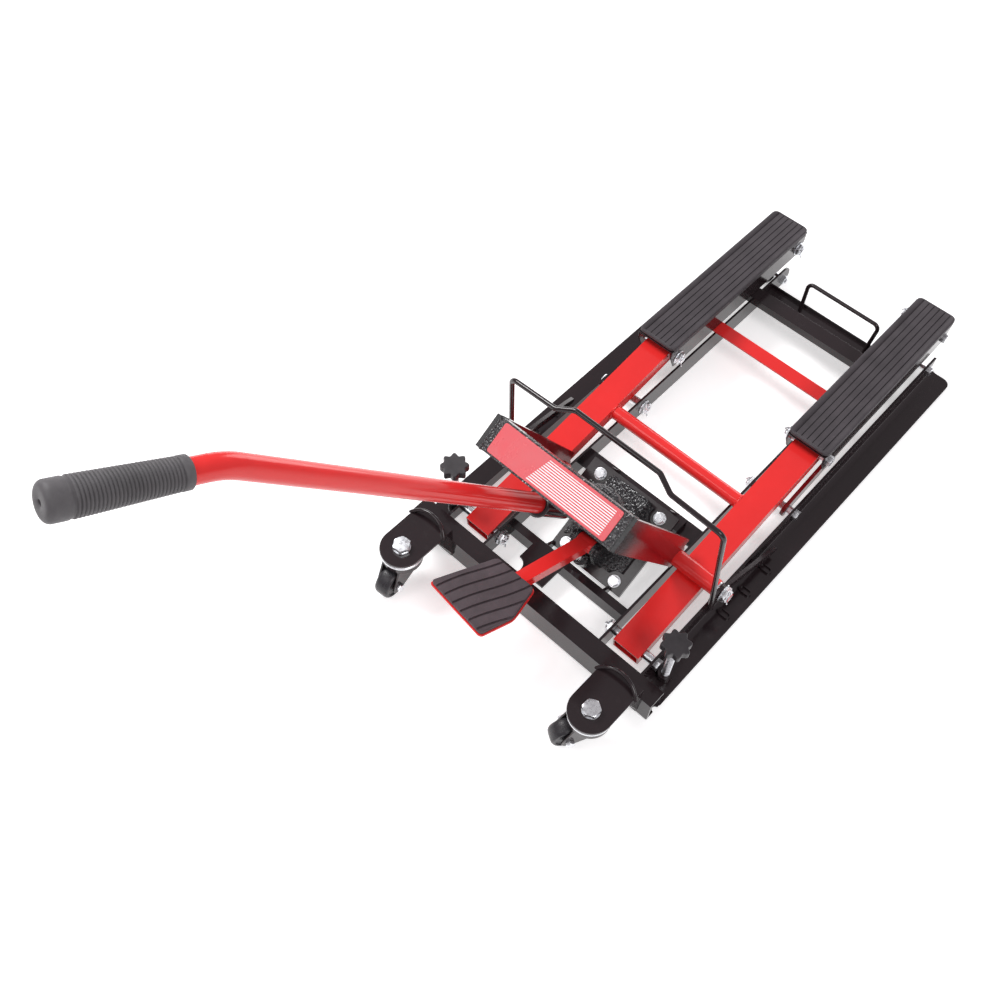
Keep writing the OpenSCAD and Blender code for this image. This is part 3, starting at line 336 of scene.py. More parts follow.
def castle_nut(place, radius, height, crown, rise, bolt):
    """Castle nut on a toothed washer, with its bolt's end and a split pin through it.

    The radius and height are the hexagon's, crown and rise are the slotted ring's radius
    and height above it, and bolt is the radius of the bolt's end.
    """
    teeth, washer_t, slot_half = 18, 1.3, 1.5
    outline = round_outline(2 * teeth, lambda i: radius * (1.12 if i % 2 else 1.03))
    washer = extruded("Washer", outline, 0, washer_t, place, 0.2)
    nut = hex_head(radius, height, shift(0, 0, washer_t))
    top = height + rise
    ring = turned("Crown", [(bolt, height), (crown, height), (crown, top - 0.8),
                            (crown - 0.8, top), (bolt, top)])
    reach = crown + 2
    slot = [(-reach, -slot_half), (reach, -slot_half), (reach, slot_half), (-reach, slot_half)]
    slots = [extruded("Slot", slot, height + 1.5, top + 2, turn(60 * i, "Z")) for i in range(3)]
    carve(ring, slots)
    for part in (nut, ring):
        part.data.transform(place)
    end = turned("End", [(0, height - 2), (bolt, height - 2), (bolt, top + 1.2),
                         (bolt - 1, top + 2.2), (0, top + 2.2)], place)
    level = height + 2.6
    legs = [rod((-crown - 3, 0, level), (crown + 3.5, 0, level), 1.1),
            rod((crown + 3, 0, level), (crown + 1.5, -5, level + 4), 1.0),
            rod((crown + 3, 0, level - 0.5), (crown + 1, 6, level - 1), 1.0)]
    for leg in legs:
        leg.data.transform(place)
    return [washer, nut, ring, end] + legs


def fit(piece, body, slot, finish, *nodes):
    """Gives a piece its finish and its body, and hides the CAD nodes it stands for; its slot
    argument is not used.
    """
    piece.data.materials.clear()
    piece.data.materials.append(finish)
    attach(piece, body)
    if nodes:
        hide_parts(*nodes)
    return piece


# ---- finishes ------------------------------------------------------------------------------

class Finish:
    """A node material that reads Object coordinates."""

    def __init__(self, name, **sockets):
        self.material = bpy.data.materials.new(name)
        self.material.use_nodes = True
        self.tree = self.material.node_tree
        self.surface = self.tree.nodes["Principled BSDF"]
        for socket, value in sockets.items():
            self.surface.inputs[socket.replace("_", " ")].default_value = value
        self.place = self.add("TexCoord").outputs["Object"]

    def add(self, kind, inputs=None, **settings):
        """Adds a node, sets it up and links or fills its inputs."""
        made = self.tree.nodes.new("ShaderNode" + kind)
        for key, value in settings.items():
            setattr(made, key, value)
        for key, value in (inputs or {}).items():
            if isinstance(value, bpy.types.NodeSocket):
                self.tree.links.new(value, made.inputs[key])
            else:
                made.inputs[key].default_value = value
        return made

    def feed(self, socket, value):
        """Links a value to the surface."""
        self.tree.links.new(value, self.surface.inputs[socket])

    def noise(self, scale, detail=3.0, rough=0.5, place=None):
        """Cloudy noise; scale is in features per metre."""
        return self.add("TexNoise", {"Vector": place or self.place, "Scale": scale,
                                     "Detail": detail, "Roughness": rough}).outputs["Fac"]

    def span(self, value, low, high, first, last):
        """Maps low...high to first...last."""
        return self.add("MapRange", {"Value": value, "From Min": low, "From Max": high,
                                     "To Min": first, "To Max": last}).outputs["Result"]

    def math(self, operation, first, second=0.0):
        """One arithmetic step."""
        return self.add("Math", {0: first, 1: second}, operation=operation).outputs[0]

    def blend(self, factor, first, second):
        """Mixes two colours."""
        return self.add("Mix", {0: factor, 6: first, 7: second}, data_type="RGBA").outputs[2]

    def bump(self, height, distance, strength=1.0, below=None):
        """Bump of a height in metres, on top of another normal."""
        inputs = {"Height": height, "Distance": distance, "Strength": strength}
        if below is not None:
            inputs["Normal"] = below
        return self.add("Bump", inputs).outputs["Normal"]

    def position(self, matrix=None):
        """X, Y and Z in the frame of a matrix, in metres."""
        place = self.place
        if matrix is not None:
            back = matrix.inverted()
            place = self.add("Mapping", {"Vector": place, "Location": back.to_translation(),
                                         "Rotation": back.to_euler()}).outputs[0]
        split = self.add("SeparateXYZ", {0: place})
        return split.outputs


def shade(colour, factor):
    """A colour made lighter or darker."""
    return tuple(min(1.0, c * factor) for c in colour[:3]) + (1.0,)


def enamel(name, colour, gloss, peel=0.00008, dust=0.03, dust_colour=(0.4, 0.38, 0.38, 1)):
    """Sprayed enamel on steel: orange peel, faint cloudiness, handling marks and dust."""
    f = Finish(name, Specular_IOR_Level=0.5)
    broad = f.noise(9, 4, 0.6)
    marks = f.noise(60, 6, 0.72)
    peeling = f.noise(380, 2, 0.4)
    base = f.blend(f.span(broad, 0.3, 0.7, 0.0, 1.0), shade(colour, 0.93), shade(colour, 1.05))
    settled = f.math("MULTIPLY", f.span(marks, 0.55, 0.8, 0.0, 1.0),
                     f.span(broad, 0.35, 0.65, 0.2 * dust, dust))
    f.feed("Base Color", f.blend(settled, base, dust_colour))
    f.feed("Roughness", f.span(marks, 0.35, 0.75, gloss, gloss + 0.07))
    f.feed("Normal", f.bump(peeling, peel, 0.35))
    return f.material


def hammertone(f, colour):
    """Base colour, roughness and normal of hammertone paint."""
    cells = f.add("TexVoronoi", {"Vector": f.place, "Scale": 330.0, "Randomness": 1.0},
                  feature="SMOOTH_F1").outputs["Distance"]
    swirl = f.noise(300, 3, 0.5)
    height = f.math("ADD", cells, f.math("MULTIPLY", swirl, 0.7))
    tint = f.blend(f.span(height, 0.35, 1.0, 0.0, 1.0), shade(colour, 1.8), shade(colour, 0.6))
    return tint, f.span(swirl, 0.3, 0.7, 0.08, 0.18), f.bump(height, 0.0015, 0.9)


def hammered(name, colour):
    """Hammertone paint: dimples that glitter in a dark skin."""
    f = Finish(name, Specular_IOR_Level=0.9)
    tint, rough, normal = hammertone(f, colour)
    f.feed("Base Color", tint)
    f.feed("Roughness", rough)
    f.feed("Normal", normal)
    return f.material


def strap_paint(name, red, black):
    """Gloss red that is oversprayed with black hammertone near the yoke's box."""
    f = Finish(name, Specular_IOR_Level=0.35)
    along = f.position(YOKE)[2]
    ragged = f.math("ADD", along, f.span(f.noise(45, 5, 0.7), 0.3, 0.7, -0.014, 0.014))
    mask = f.span(ragged, 0.242, 0.290, 0.0, 1.0)
    tint = hammertone(f, shade(black, 0.6))[0]
    cloud = f.noise(14, 4, 0.6)
    base = f.blend(f.span(cloud, 0.3, 0.7, 0.0, 1.0), shade(red, 0.88), shade(red, 1.08))
    f.feed("Base Color", f.blend(mask, base, tint))
    f.feed("Roughness", f.span(mask, 0.0, 1.0, 0.11, 0.13))
    f.feed("Normal", f.bump(f.noise(380, 2, 0.4), 0.0002, 0.5))
    return f.material


def plated(name, colour, rough):
    """Zinc plate or bright steel: fine drawn lines and cloudy passivation."""
    f = Finish(name, Metallic=1.0)
    cloud = f.noise(140, 5, 0.65)
    fine = f.noise(1500, 3, 0.6)
    f.feed("Base Color", f.blend(f.span(cloud, 0.3, 0.7, 0.0, 1.0), shade(colour, 0.9),
                                 shade(colour, 1.05)))
    f.feed("Roughness", f.span(f.math("ADD", cloud, f.math("MULTIPLY", fine, 0.3)),
                               0.4, 0.9, rough, rough + 0.22))
    f.feed("Normal", f.bump(fine, 0.00003, 0.4))
    return f.material


def rubber(name, colour, rough, grain=900.0, scuff=0.35):
    """Moulded rubber: fine grain, pale scuffs and a dry bloom."""
    f = Finish(name, Specular_IOR_Level=0.35)
    bloom = f.noise(24, 5, 0.65)
    scuffs = f.noise(160, 6, 0.75)
    skin = f.noise(grain, 3, 0.6)
    base = f.blend(f.span(bloom, 0.3, 0.7, 0.0, 1.0), shade(colour, 0.78), shade(colour, 1.2))
    f.feed("Base Color", f.blend(f.span(scuffs, 0.56, 0.8, 0.0, scuff), base,
                                 shade(colour, 2.4)))
    f.feed("Roughness", f.span(scuffs, 0.3, 0.8, rough - 0.08, rough + 0.12))
    f.feed("Normal", f.bump(f.math("ADD", skin, f.math("MULTIPLY", scuffs, 0.4)), 0.00035, 0.6))
    return f.material


def plastic(name, colour, rough):
    """Moulded plastic with a satin, slightly mottled skin."""
    f = Finish(name, Specular_IOR_Level=0.5)
    cloud = f.noise(60, 4, 0.6)
    skin = f.noise(1300, 2, 0.5)
    f.feed("Base Color", f.blend(f.span(cloud, 0.3, 0.7, 0.0, 1.0), shade(colour, 0.85),
                                 shade(colour, 1.25)))
    f.feed("Roughness", f.span(cloud, 0.3, 0.7, rough, rough + 0.12))
    f.feed("Normal", f.bump(skin, 0.00012, 0.5))
    return f.material


def label_print(name):
    """Printed sheet on the yoke: a red ground with pale stripes along its right part."""
    f = Finish(name, Specular_IOR_Level=0.65, Coat_Weight=0.5, Coat_Roughness=0.1)
    x, y, _ = f.position(YOKE)
    red, pale = (0.70, 0.02, 0.04, 1), (0.86, 0.78, 0.80, 1)
    cloud = f.noise(30, 4, 0.6)
    ground = f.blend(f.span(cloud, 0.3, 0.7, 0.0, 1.0), shade(red, 0.92), shade(red, 1.06))
    left, right, row, middle, half = -0.026, 0.088, 0.0016, -0.0006, 0.0186
    slant = f.math("ADD", x, f.math("MULTIPLY", y, -0.35))
    field = f.math("MULTIPLY", f.math("GREATER_THAN", slant, left),
                   f.math("LESS_THAN", x, right))
    rows = f.math("PINGPONG", f.math("ADD", y, 12 * row), row)
    lines = f.math("GREATER_THAN", rows, row / 2)
    edge = f.math("LESS_THAN", f.math("ABSOLUTE", f.math("SUBTRACT", y, middle)), half)
    stripes = f.math("MULTIPLY", f.math("MULTIPLY", field, edge), lines)
    f.feed("Base Color", f.blend(stripes, ground, pale))
    f.feed("Roughness", f.span(cloud, 0.3, 0.7, 0.2, 0.34))
    f.feed("Normal", f.bump(f.noise(500, 2, 0.5), 0.00006, 0.4))
    return f.material


def floor_paint(name):
    """Pale floor that the camera sees as plain white, with soft shadows kept."""
    f = Finish(name, Roughness=0.9, Specular_IOR_Level=0.1)
    f.feed("Base Color", f.blend(f.noise(3, 2), (0.93, 0.93, 0.93, 1), (0.96, 0.96, 0.96, 1)))
    path = f.add("LightPath").outputs
    seen = f.math("MAXIMUM", path["Is Camera Ray"],
                  f.math("MAXIMUM", path["Is Glossy Ray"], path["Is Transmission Ray"]))
    f.surface.inputs["Emission Color"].default_value = (1, 1, 1, 1)
    f.feed("Emission Strength", f.math("MULTIPLY", seen, 0.5))
    return f.material


# ---- settings ------------------------------------------------------------------------------

def colour_property(name, description, value):
    """A colour setting."""
    return bpy.props.FloatVectorProperty(name=name, description=description, subtype="COLOR",
                                         size=3, min=0, max=1, default=value)


def length_property(name, description, value):
    """A length setting in metres."""
    return bpy.props.FloatProperty(name=name, description=description, default=value,
                                   unit="LENGTH", subtype="DISTANCE", min=0)


class JackColours(bpy.types.PropertyGroup):
    """Colours of the jack's finishes."""
    lift_red: colour_property("Arm red", "Enamel of arms, tubes and handle", (0.84, 0.029, 0.028))
    # The links' and straps' red is a darker copy of the arm red: painted shade, not a different
    # paint
    link_red: colour_property("Link red", "Arm red darkened as painted shade, for links and straps", (0.22, 0.008, 0.011))
    frame_black: colour_property("Frame black", "Enamel of the frame", (0.021, 0.0135, 0.0155))
    pump_black: colour_property("Pump black", "Hammertone of the pump", (0.022, 0.021, 0.024))
    zinc: colour_property("Zinc", "Plated bolts and nuts", (0.90, 0.92, 0.95))
    pad: colour_property("Pad rubber", "Saddle pads", (0.06, 0.052, 0.058))
    foot: colour_property("Foot rubber", "Pad of the pedal", (0.075, 0.056, 0.064))
    grip: colour_property("Grip rubber", "Handle grip", (0.1, 0.095, 0.1))
    wheel: colour_property("Wheel", "Wheels and their treads", (0.032, 0.03, 0.034))


class JackSizes(bpy.types.PropertyGroup):
    """Sizes of the detail that the finish adds."""
    edge: length_property("Edge", "Rounding of pressed and cut steel edges", 0.0007)
    bead: length_property("Weld bead", "Radius of a weld bead", 0.0022)
    rib: length_property("Grip rib", "Spacing of the ribs on the handle grip", 0.0039)


FINISHES = {}          # material by slot, filled by the first operator


# ---- operators -----------------------------------------------------------------------------

class JACK_OT_finishes(bpy.types.Operator):
    """Make every finish and put it on the CAD nodes"""
    bl_idname = "jack.finishes"
    bl_label = "Finishes"

    def execute(self, context):
        c = context.scene.jack_colours
        FINISHES.update({
            "arm_red": enamel("Gloss red enamel", c.lift_red, 0.14),
            # The links' enamel is the arm red darkened as painted shade
            "link_red": enamel("Red enamel darkened as painted shade", c.link_red, 0.1),
            "frame_black": enamel("Gloss black enamel", c.frame_black, 0.12, dust=0.03),
            "hammered_black": hammered("Black hammertone", c.pump_black),
            "zinc": plated("Zinc plate", c.zinc, 0.18),
            "chromed_steel": plated("Polished steel", (0.82, 0.82, 0.84), 0.08),
            # The straps' red is the link red, darkened as painted shade
            "strap": strap_paint("Strap enamel", c.link_red, c.pump_black),
            "pad_rubber": rubber("Pad rubber", c.pad, 0.6),
            "foot_rubber": rubber("Foot rubber", c.foot, 0.6),
            "grip_rubber": rubber("Grip rubber", c.grip, 0.5, 1500.0, 0.15),
            "knob_plastic": plastic("Knob plastic", (0.042, 0.038, 0.042), 0.36),
            "label_sheet": label_print("Printed sheet"),
            "wheel_tread": rubber("Wheel", c.wheel, 0.3, 1200.0, 0.15),
        })
        slots = {s["node"]: s["material_slot"] for s in frame["record"]["subparts"]}
        for node, obj in NODES.items():
            obj.data.materials.clear()
            obj.data.materials.append(FINISHES[slots[node]])
        return {"FINISHED"}


# Pressed and cut steel whose edges are eased: node, body, slot
STEELWORK = [
    ("left_inner_rail", "frame", "frame_black"), ("right_inner_rail", "frame", "frame_black"),
    ("front_crossbar", "frame", "frame_black"), ("rear_channel", "frame", "frame_black"),
    ("left_caster_bracket", "frame", "frame_black"),
    ("right_caster_bracket", "frame", "frame_black"),
    ("left_caster_fork", "left_swivel", "frame_black"),
    ("right_caster_fork", "right_swivel", "frame_black"),
    ("link_tie_bar", "links", "arm_red"),
    ("left_saddle", "left_saddle", "frame_black"),
    ("right_saddle", "right_saddle", "frame_black"),
    ("yoke_box", "yoke", "hammered_black"),
    ("pedal_arm", "pedal", "arm_red"),
    ("pump_bolts", "frame", "zinc"),
]
# Plates, wires, tubes, castings and turned pieces, which keep their corners
SMOOTHED = [
    ("left_outer_rail", "frame", "frame_black"), ("right_outer_rail", "frame", "frame_black"),
    ("pump_bars", "frame", "frame_black"), ("pump_base_plate", "frame", "frame_black"),
    ("rear_bail", "frame", "frame_black"), ("tie_down_loops", "frame", "frame_black"),
    ("levelling_collars", "frame", "frame_black"), ("pedal_pin", "frame", "frame_black"),
    ("pump_casting", "frame", "hammered_black"), ("oil_reservoir", "frame", "hammered_black"),
    ("ram_barrel", "frame", "hammered_black"), ("handle_boss", "frame", "hammered_black"),
    ("left_link", "links", "link_red"), ("right_link", "links", "link_red"),
    ("yoke_straps", "yoke", "link_red"),
    ("arm_cross_tube", "arms", "arm_red"), ("lift_shafts", "arms", "arm_red"),
    ("ram", "ram", "chromed_steel"), ("ram_head", "ram", "zinc"),
    ("pump_plunger", "plunger", "chromed_steel"),
    ("handle_tube", "handle", "arm_red"), ("handle_collar", "handle", "frame_black"),
    ("lock_bail", "lock_frame", "frame_black"), ("lock_struts", "lock_frame", "frame_black"),
    ("left_rear_wheel", "left_rear", "wheel_tread"),
    ("right_rear_wheel", "right_rear", "wheel_tread"),
]


class JACK_OT_steelwork(bpy.types.Operator):
    """Ease the edges of the pressed and cut steel"""
    bl_idname = "jack.steelwork"
    bl_label = "Steelwork"

    def execute(self, context):
        edge = context.scene.jack_sizes.edge / MM
        for node, body, slot in STEELWORK:
            fit(refined(node, edge), body, slot, FINISHES[slot], node)
        for node, body, slot in SMOOTHED:
            finish = FINISHES["strap" if node == "yoke_straps" else slot]
            fit(refined(node, 0, flatten=False), body, slot, finish, node)
        for side in SIDES:
            node = side + "_arm"
            fit(tube_refined(node, 3.0, edge), "arms", "arm_red", FINISHES["arm_red"], node)
        return {"FINISHED"}


class JACK_OT_rubber(bpy.types.Operator):
    """Make the saddle pads, the foot plate and its pad, the grip and the collar's rim"""
    bl_idname = "jack.rubber"
    bl_label = "Pads, grip and rim"

    def execute(self, context):
        for side in SIDES:
            self.saddle_pad(side)
        self.foot_pad()
        self.grip(context.scene.jack_sizes.rib / MM)
        self.collar_rim()
        return {"FINISHED"}

    def saddle_pad(self, side):
        """Slab with rounded corners and six grooves along it, seated over the saddle."""
        middle, half, seat, front, rear = SIDES[side] * 148.5, 36.2, 35.05, 284.5, 673.5
        grooves, spacing, groove_half, inset = 6, 10, 0.8, 4.5
        pad = extruded("Pad", oblong(middle - half, front, middle + half, rear, 11), 102, 115,
                       Matrix(), 2.6, 4)
        tools = [extruded("Seat", oblong(middle - seat, front - 0.5, middle + seat, rear + 0.5,
                                         0.5), 100, 110.05)]
        for i in range(grooves):
            x = middle + spacing * (i + 0.5 - grooves / 2)
            groove = oblong(x - groove_half, front + inset, x + groove_half, rear - inset, 0.6)
            tools.append(extruded("Groove", groove, 113.4, 118))
        carve(pad, tools)
        edit(pad)
        bpy.ops.mesh.quads_convert_to_tris(quad_method="BEAUTY", ngon_method="BEAUTY")
        close_edit()
        activate(pad)
        bpy.ops.object.shade_smooth_by_angle(angle=math.radians(35))
        fit(pad, side + "_saddle", "pad_rubber", FINISHES["pad_rubber"], side + "_saddle_pad")

    def foot_pad(self):
        """Five-sided plate and pad, with grooves that wave a little across the pad."""
        inset = 0.9623
        corners = [(-80, -43), (31, -55), (48, -4), (38, 52), (-35, 52)]
        plate = extruded("Foot_plate", softened(corners, 7), 0.02, 4.02, FOOT, 0.6)
        fit(plate, "pedal", "arm_red", FINISHES["arm_red"], "pedal_plate")
        outline = softened([(x * inset, y * inset) for x, y in corners], 6)
        pad = extruded("Foot_pad", outline, 4.04, 13.04, Matrix(), 1.2)
        grooves, spacing, half, groove_half = 6, 17, 100, 1.5
        cutters = []
        for i in range(grooves):
            middle = spacing * (i + 0.5 - grooves / 2)
            path = [(middle + 2.6 * math.sin(y / 24), y) for y in range(-half, half + 1, 5)]
            band = ([(x - groove_half, y) for x, y in path]
                    + [(x + groove_half, y) for x, y in reversed(path)])
            cutters.append(extruded("Groove", band, 10.4, 20, turn(-22, "Z")))
        carve(pad, cutters)
        ease_edges(pad, 0.35)
        pad.data.transform(FOOT)
        fit(pad, "pedal", "pad_rubber", FINISHES["foot_rubber"], "pedal_pad")

    def grip(self, pitch):
        """Grip that swells towards its smooth, domed end, with fine ribs round it."""
        bore, low, high, first, last = 14.55, 16.4, 19.4, 11, 119
        count = int((last - first) / pitch)
        profile = [(bore, 0), (17.2, 0), (17.9, 0.7), (17.9, 9.3), (17.3, 10), (low, 10.6)]
        for i in range(count):
            root = low + (high - low) * i / count
            for part, swell in ((0.1, 0.1), (0.25, 1.0), (0.45, 1.4), (0.65, 1.4),
                                (0.85, 1.0), (0.97, 0.1)):
                profile.append((root + swell, first + pitch * (i + part)))
        profile += [(high, last), (20.1, last + 0.8), (20.5, last + 2.2), (20.5, 135)]
        for angle in range(15, 91, 15):
            profile.append((13.5 + 7 * math.cos(math.radians(angle)),
                            135 + 7 * math.sin(math.radians(angle))))
        profile += [(4.2, 142), (3.5, 141.4), (3.5, 130.1), (bore, 130.1)]
        grip = turned("Grip", profile, PAST_BEND @ shift(0, 0, 21), 72, 50)
        fit(grip, "handle", "grip_rubber", FINISHES["grip_rubber"], "handle_grip")

    def collar_rim(self):
        """Rolled rim at the mouth of the handle's collar."""
        rim = turned("Collar_rim", [(14.8, 14), (19, 14), (20.2, 15), (20.2, 17.2),
                                    (19, 18.4), (14.8, 18.4)], HANDLE, 72, 50)
        fit(rim, "handle", "frame_black", FINISHES["frame_black"])


class JACK_OT_fasteners(bpy.types.Operator):
    """Make the nuts, bolts, levelling screws and caster wheels"""
    bl_idname = "jack.fasteners"
    bl_label = "Fasteners"

    def execute(self, context):
        bolts, studs = [refined("pivot_bolts", 0.3)], [refined("shaft_nuts", 0.3)]
        for side, sign in SIDES.items():
            inward, outward = turn(-90 * sign, "Y"), turn(90 * sign, "Y")
            for y, z in PIVOTS:
                bolts += castle_nut(shift(sign * 112, y, z) @ inward, 11.6, 6.4, 8.6, 3.6, 5.2)
            pins = [refined(side + "_saddle_bolts", 0.3)]
            for y, z in SADDLE_PINS:
                pins += castle_nut(shift(sign * 113.5, y, z) @ inward, 11.2, 5.8, 8.4, 3.2, 5.2)
            fit(joined(side + "_saddle_pins", pins), side + "_saddle", "zinc",
                FINISHES["zinc"], side + "_saddle_bolts")
            y, z = SHAFT[1:]
            studs += castle_nut(shift(sign * 200.4, y, z) @ outward, 12.9, 6.6, 10.4, 4.4, 7.05)
            self.leveller(side, sign)
            self.caster(side)
        fit(joined("Pivot_bolts", bolts), "frame", "zinc", FINISHES["zinc"], "pivot_bolts")
        fit(joined("Stud_nuts", studs), "arms", "zinc", FINISHES["zinc"], "shaft_nuts")
        self.caster_bolts()
        return {"FINISHED"}

    def leveller(self, side, sign):
        """Eight-lobed knob on a threaded rod."""
        place = shift(sign * 210, -122, 0)
        points, lobes, knob_r, lobe = 192, 8, 19.6, 2.4
        outline = round_outline(
            points, lambda i: knob_r + lobe * math.cos(lobes * 2 * math.pi * i / points))
        knob = extruded("Knob", outline, 105.5, 119.5, place, 1.6, 3)
        cap = turned("Cap", [(0, 119), (9.4, 119), (9.4, 119.3), (0, 119.45)], place)
        neck = turned("Neck", [(0, 97.5), (8.6, 97.5), (9.5, 98.6), (9.5, 104.5),
                               (11.5, 105.6), (0, 105.6)], place)
        fit(joined(side + "_knob", [knob, cap, neck]), side + "_leveller", "knob_plastic",
            FINISHES["knob_plastic"], side + "_levelling_screw")
        pitch, low, high, root, crest = 1.75, 9, 97.6, 5.15, 6.0
        profile = [(0, 7), (4, 7), (5.2, low)]
        for i in range(int((high - low) / pitch)):
            profile += [(root, low + pitch * (i + 0.15)), (crest, low + pitch * (i + 0.55))]
        profile += [(5.2, high), (0, high)]
        fit(turned(side + "_threaded_rod", profile, place, 40), side + "_leveller", "zinc",
            FINISHES["zinc"])

    def caster(self, side):
        """Wheel with a rounded tread and a hub, and its axle bolt."""
        profile = [(4.1, -12), (8.4, -12), (9, -11.4), (9, -10.2), (18.4, -10.2), (19, -11.6),
                   (20.2, -12), (22.6, -11.4), (24.2, -9.4), (25, -6), (25, 6), (24.2, 9.4),
                   (22.6, 11.4), (20.2, 12), (19, 11.6), (18.4, 10.2), (9, 10.2), (9, 11.4),
                   (8.4, 12), (4.1, 12)]
        place = CASTER[side] @ shift(0, -30, 25)
        wheel = turned(side + "_wheel", profile, place @ turn(90, "Y"), 72)
        fit(wheel, side + "_caster", "wheel_tread", FINISHES["wheel_tread"],
            side + "_caster_wheel")
        axle = [turned("Axle", [(0, -17.5), (4, -17.5), (4, 17.5), (0, 17.5)],
                       place @ turn(90, "Y"), 32),
                hex_head(7, 5, place @ shift(16.55, 0, 0) @ turn(90, "Y")),
                hex_head(7, 6, place @ shift(-16.55, 0, 0) @ turn(-90, "Y"))]
        fit(joined(side + "_axle", axle), side + "_swivel", "zinc", FINISHES["zinc"],
            side + "_caster_axle")

    def caster_bolts(self):
        """Hexagon heads on washers over pressed raceway rings."""
        made = []
        for side in SIDES:
            place = CASTER[side]
            made += [
                hex_head(13.8, 8, place @ shift(0, 0, 86)),
                turned("Washer", [(0, 84), (13.4, 84), (13.4, 85.6), (13, 86), (0, 86)], place),
                turned("Shank", [(0, 60), (11, 60), (11, 65.5), (8, 65.6), (8, 84.1),
                                 (0, 84.1)], place),
                turned("Raceway", [(22, 70.3), (30.8, 70.3), (31.8, 71.2), (32, 72.4),
                                   (31.4, 73.8), (29.8, 74.4), (29.8, 75), (31.4, 75.6),
                                   (32, 76.8), (31.8, 78), (30.8, 78.95), (22, 78.95)],
                       place, 96, 60)]
        fit(joined("Caster_bolts", made), "frame", "zinc", FINISHES["zinc"], "caster_bolts")


class JACK_OT_welds(bpy.types.Operator):
    """Lay the weld beads and the printed sheet"""
    bl_idname = "jack.welds"
    bl_label = "Welds and sheet"

    def execute(self, context):
        size = context.scene.jack_sizes.bead / MM
        for name, beads, body, slot in (
                ("Arm_welds", self.on_arms(size), "arms", "arm_red"),
                ("Yoke_welds", self.on_yoke(size * 0.9), "yoke", "hammered_black"),
                ("Frame_welds", self.on_frame(size * 0.8), "frame", "frame_black")):
            fit(joined(name, beads), body, slot, FINISHES[slot])
        sheet = extruded("Sheet", oblong(-98, -22, 97, 22.5, 4), 322.02, 323.2, YOKE, 0.2)
        fit(sheet, "yoke", "label_sheet", FINISHES["label_sheet"], "yoke_label")
        return {"FINISHED"}

    def on_arms(self, size):
        """Rings round the cross tube's ends and runs along the lifting shafts."""
        beads = []
        for sign in SIDES.values():
            beads.append(bead_ring(shift(sign * 124, 160.37, 60.04) @ turn(90, "Y"), 11.8,
                                   size))
            for y in (-7.6, 7.6):
                run = bead((sign * 125, y, -11.9), (sign * 170, y, -11.9), size * 1.15)
                run.data.transform(ON_SHAFT)
                beads.append(run)
        return beads

    def on_yoke(self, size):
        """Runs where the straps meet the ends of the box."""
        x, y, low, high = 108, 24.5, 297.6, 321.4
        beads = []
        for sign in SIDES.values():
            for a, b in (((x, -y, high), (x, y, high)), ((x, -y, low), (x, -y, high)),
                         ((x, y, low), (x, y, high))):
                run = bead((sign * a[0],) + a[1:], (sign * b[0],) + b[1:], size)
                run.data.transform(YOKE)
                beads.append(run)
        return beads

    def on_frame(self, size):
        """Runs where the outer rails meet the front crossbar."""
        beads = []
        for sign in SIDES.values():
            beads.append(bead((sign * 192.4, -160.6, 6), (sign * 192.4, -160.6, 36), size))
            beads.append(bead((sign * 196, -160.4, 7.4), (sign * 228, -160.4, 7.4), size))
        return beads


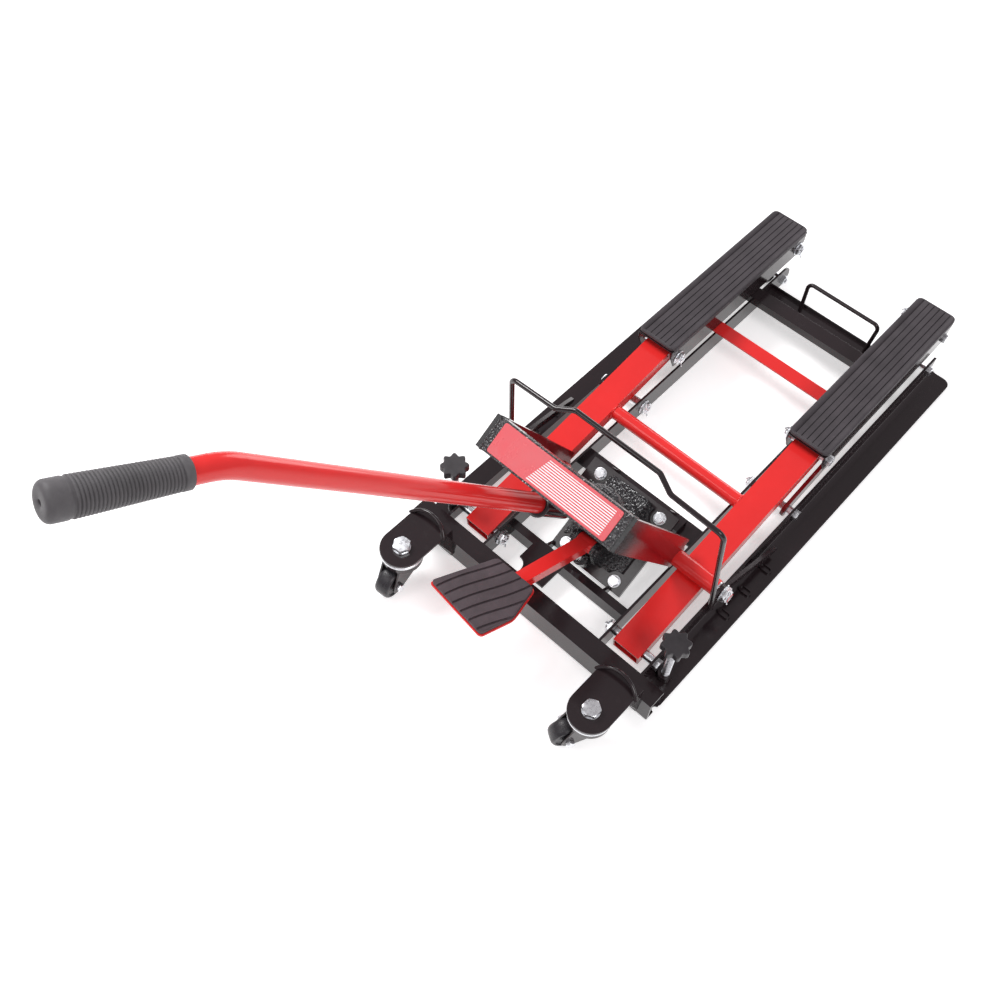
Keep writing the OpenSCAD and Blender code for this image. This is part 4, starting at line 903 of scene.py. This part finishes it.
class JACK_OT_stage(bpy.types.Operator):
    """Add the floor, the studio lights and the camera"""
    bl_idname = "jack.stage"
    bl_label = "Stage"

    def execute(self, context):
        self.floor()
        self.lamps()
        self.world(context.scene)
        self.camera(context.scene)
        context.scene.view_settings.view_transform = "Standard"
        return {"FINISHED"}

    def floor(self):
        """Wide pale floor."""
        deselect()
        bpy.ops.mesh.primitive_plane_add(size=60, location=(0, 0, 0))
        floor = bpy.context.object
        floor.name = "Floor"
        floor.data.materials.append(floor_paint("Pale floor"))

    def lamps(self):
        """Round area lamps: name, place and aim in metres, diameter, watts."""
        lamps = (("Key", (-2.6, -0.1, 3.0), (0, 0.1, 0.1), 1.5, 85),
                 ("Fill", (2.4, -0.6, 3.2), (0, 0, 0.1), 1.6, 45),
                 ("Front", (-0.77, -1.58, 2.12), (0, -0.16, 0.34), 1.1, 7),
                 ("Low back", (-1.2, 4.2, 0.9), (0, 0.1, 0.15), 2.4, 40))
        for name, spot, target, size, watts in lamps:
            bpy.ops.object.light_add(type="AREA", location=spot)
            lamp = bpy.context.object
            lamp.name = name
            lamp.data.shape = "DISK"
            lamp.data.size = size
            lamp.data.energy = watts
            aim = Vector(target) - Vector(spot)
            lamp.rotation_euler = aim.to_track_quat("-Z", "Y").to_euler()

    def world(self, scene):
        """White to the camera, and a dim, faintly pink surround to everything else."""
        ambient, surround = 0.42, (1.0, 0.945, 0.975, 1)
        world = bpy.data.worlds.new("Studio")
        scene.world = world
        world.use_nodes = True
        tree = world.node_tree
        seen = tree.nodes.new("ShaderNodeLightPath").outputs["Is Camera Ray"]
        back = tree.nodes["Background"]
        tint = tree.nodes.new("ShaderNodeMix")
        tint.data_type = "RGBA"
        tint.inputs[6].default_value = surround
        tint.inputs[7].default_value = (1, 1, 1, 1)
        tree.links.new(seen, tint.inputs[0])
        tree.links.new(tint.outputs[2], back.inputs["Color"])
        strength = tree.nodes.new("ShaderNodeMath")
        strength.operation = "MULTIPLY_ADD"
        strength.inputs[1].default_value = 1 - ambient
        strength.inputs[2].default_value = ambient
        tree.links.new(seen, strength.inputs[0])
        tree.links.new(strength.outputs[0], back.inputs["Strength"])

    def camera(self, scene):
        """Camera over the front right of the jack, looking down on it."""
        bpy.ops.object.camera_add(location=(0.43419, -0.76774, 1.47266))
        camera = bpy.context.object
        camera.name = "Camera"
        right, up = Vector((0.731, 0.681, 0.027)), Vector((-0.582, 0.604, 0.544))
        right.normalize()
        backwards = right.cross(up).normalized()
        up = backwards.cross(right)
        camera.rotation_euler = Matrix((right, up, backwards)).transposed().to_euler()
        camera.data.lens = 39.37
        camera.data.sensor_width = 36
        camera.data.shift_y = -0.016
        camera.data.clip_end = 100
        scene.camera = camera


class JACK_PT_panel(bpy.types.Panel):
    """Jack tools in the 3D view's sidebar"""
    bl_label = "Floor Jack"
    bl_idname = "JACK_PT_panel"
    bl_space_type = "VIEW_3D"
    bl_region_type = "UI"
    bl_category = "Jack"

    def draw(self, context):
        for group in (context.scene.jack_colours, context.scene.jack_sizes):
            for key in group.bl_rna.properties.keys():
                if key not in ("rna_type", "name"):
                    self.layout.prop(group, key)
        for operator in OPERATORS:
            self.layout.operator(operator.bl_idname)


OPERATORS = (JACK_OT_finishes, JACK_OT_steelwork, JACK_OT_rubber, JACK_OT_fasteners,
             JACK_OT_welds, JACK_OT_stage)
CLASSES = (JackColours, JackSizes) + OPERATORS + (JACK_PT_panel,)


def register():
    """Registers the classes and hangs the settings on the scene."""
    for cls in CLASSES:
        bpy.utils.register_class(cls)
    bpy.types.Scene.jack_colours = bpy.props.PointerProperty(type=JackColours)
    bpy.types.Scene.jack_sizes = bpy.props.PointerProperty(type=JackSizes)


def unregister():
    """Takes the settings and the classes away again."""
    del bpy.types.Scene.jack_sizes
    del bpy.types.Scene.jack_colours
    for cls in reversed(CLASSES):
        bpy.utils.unregister_class(cls)


def main():
    """Builds the jack's finish and stage."""
    register()
    for operator in OPERATORS:
        group, name = operator.bl_idname.split(".")
        getattr(getattr(bpy.ops, group), name)()


if __name__ == "__main__":
    main()
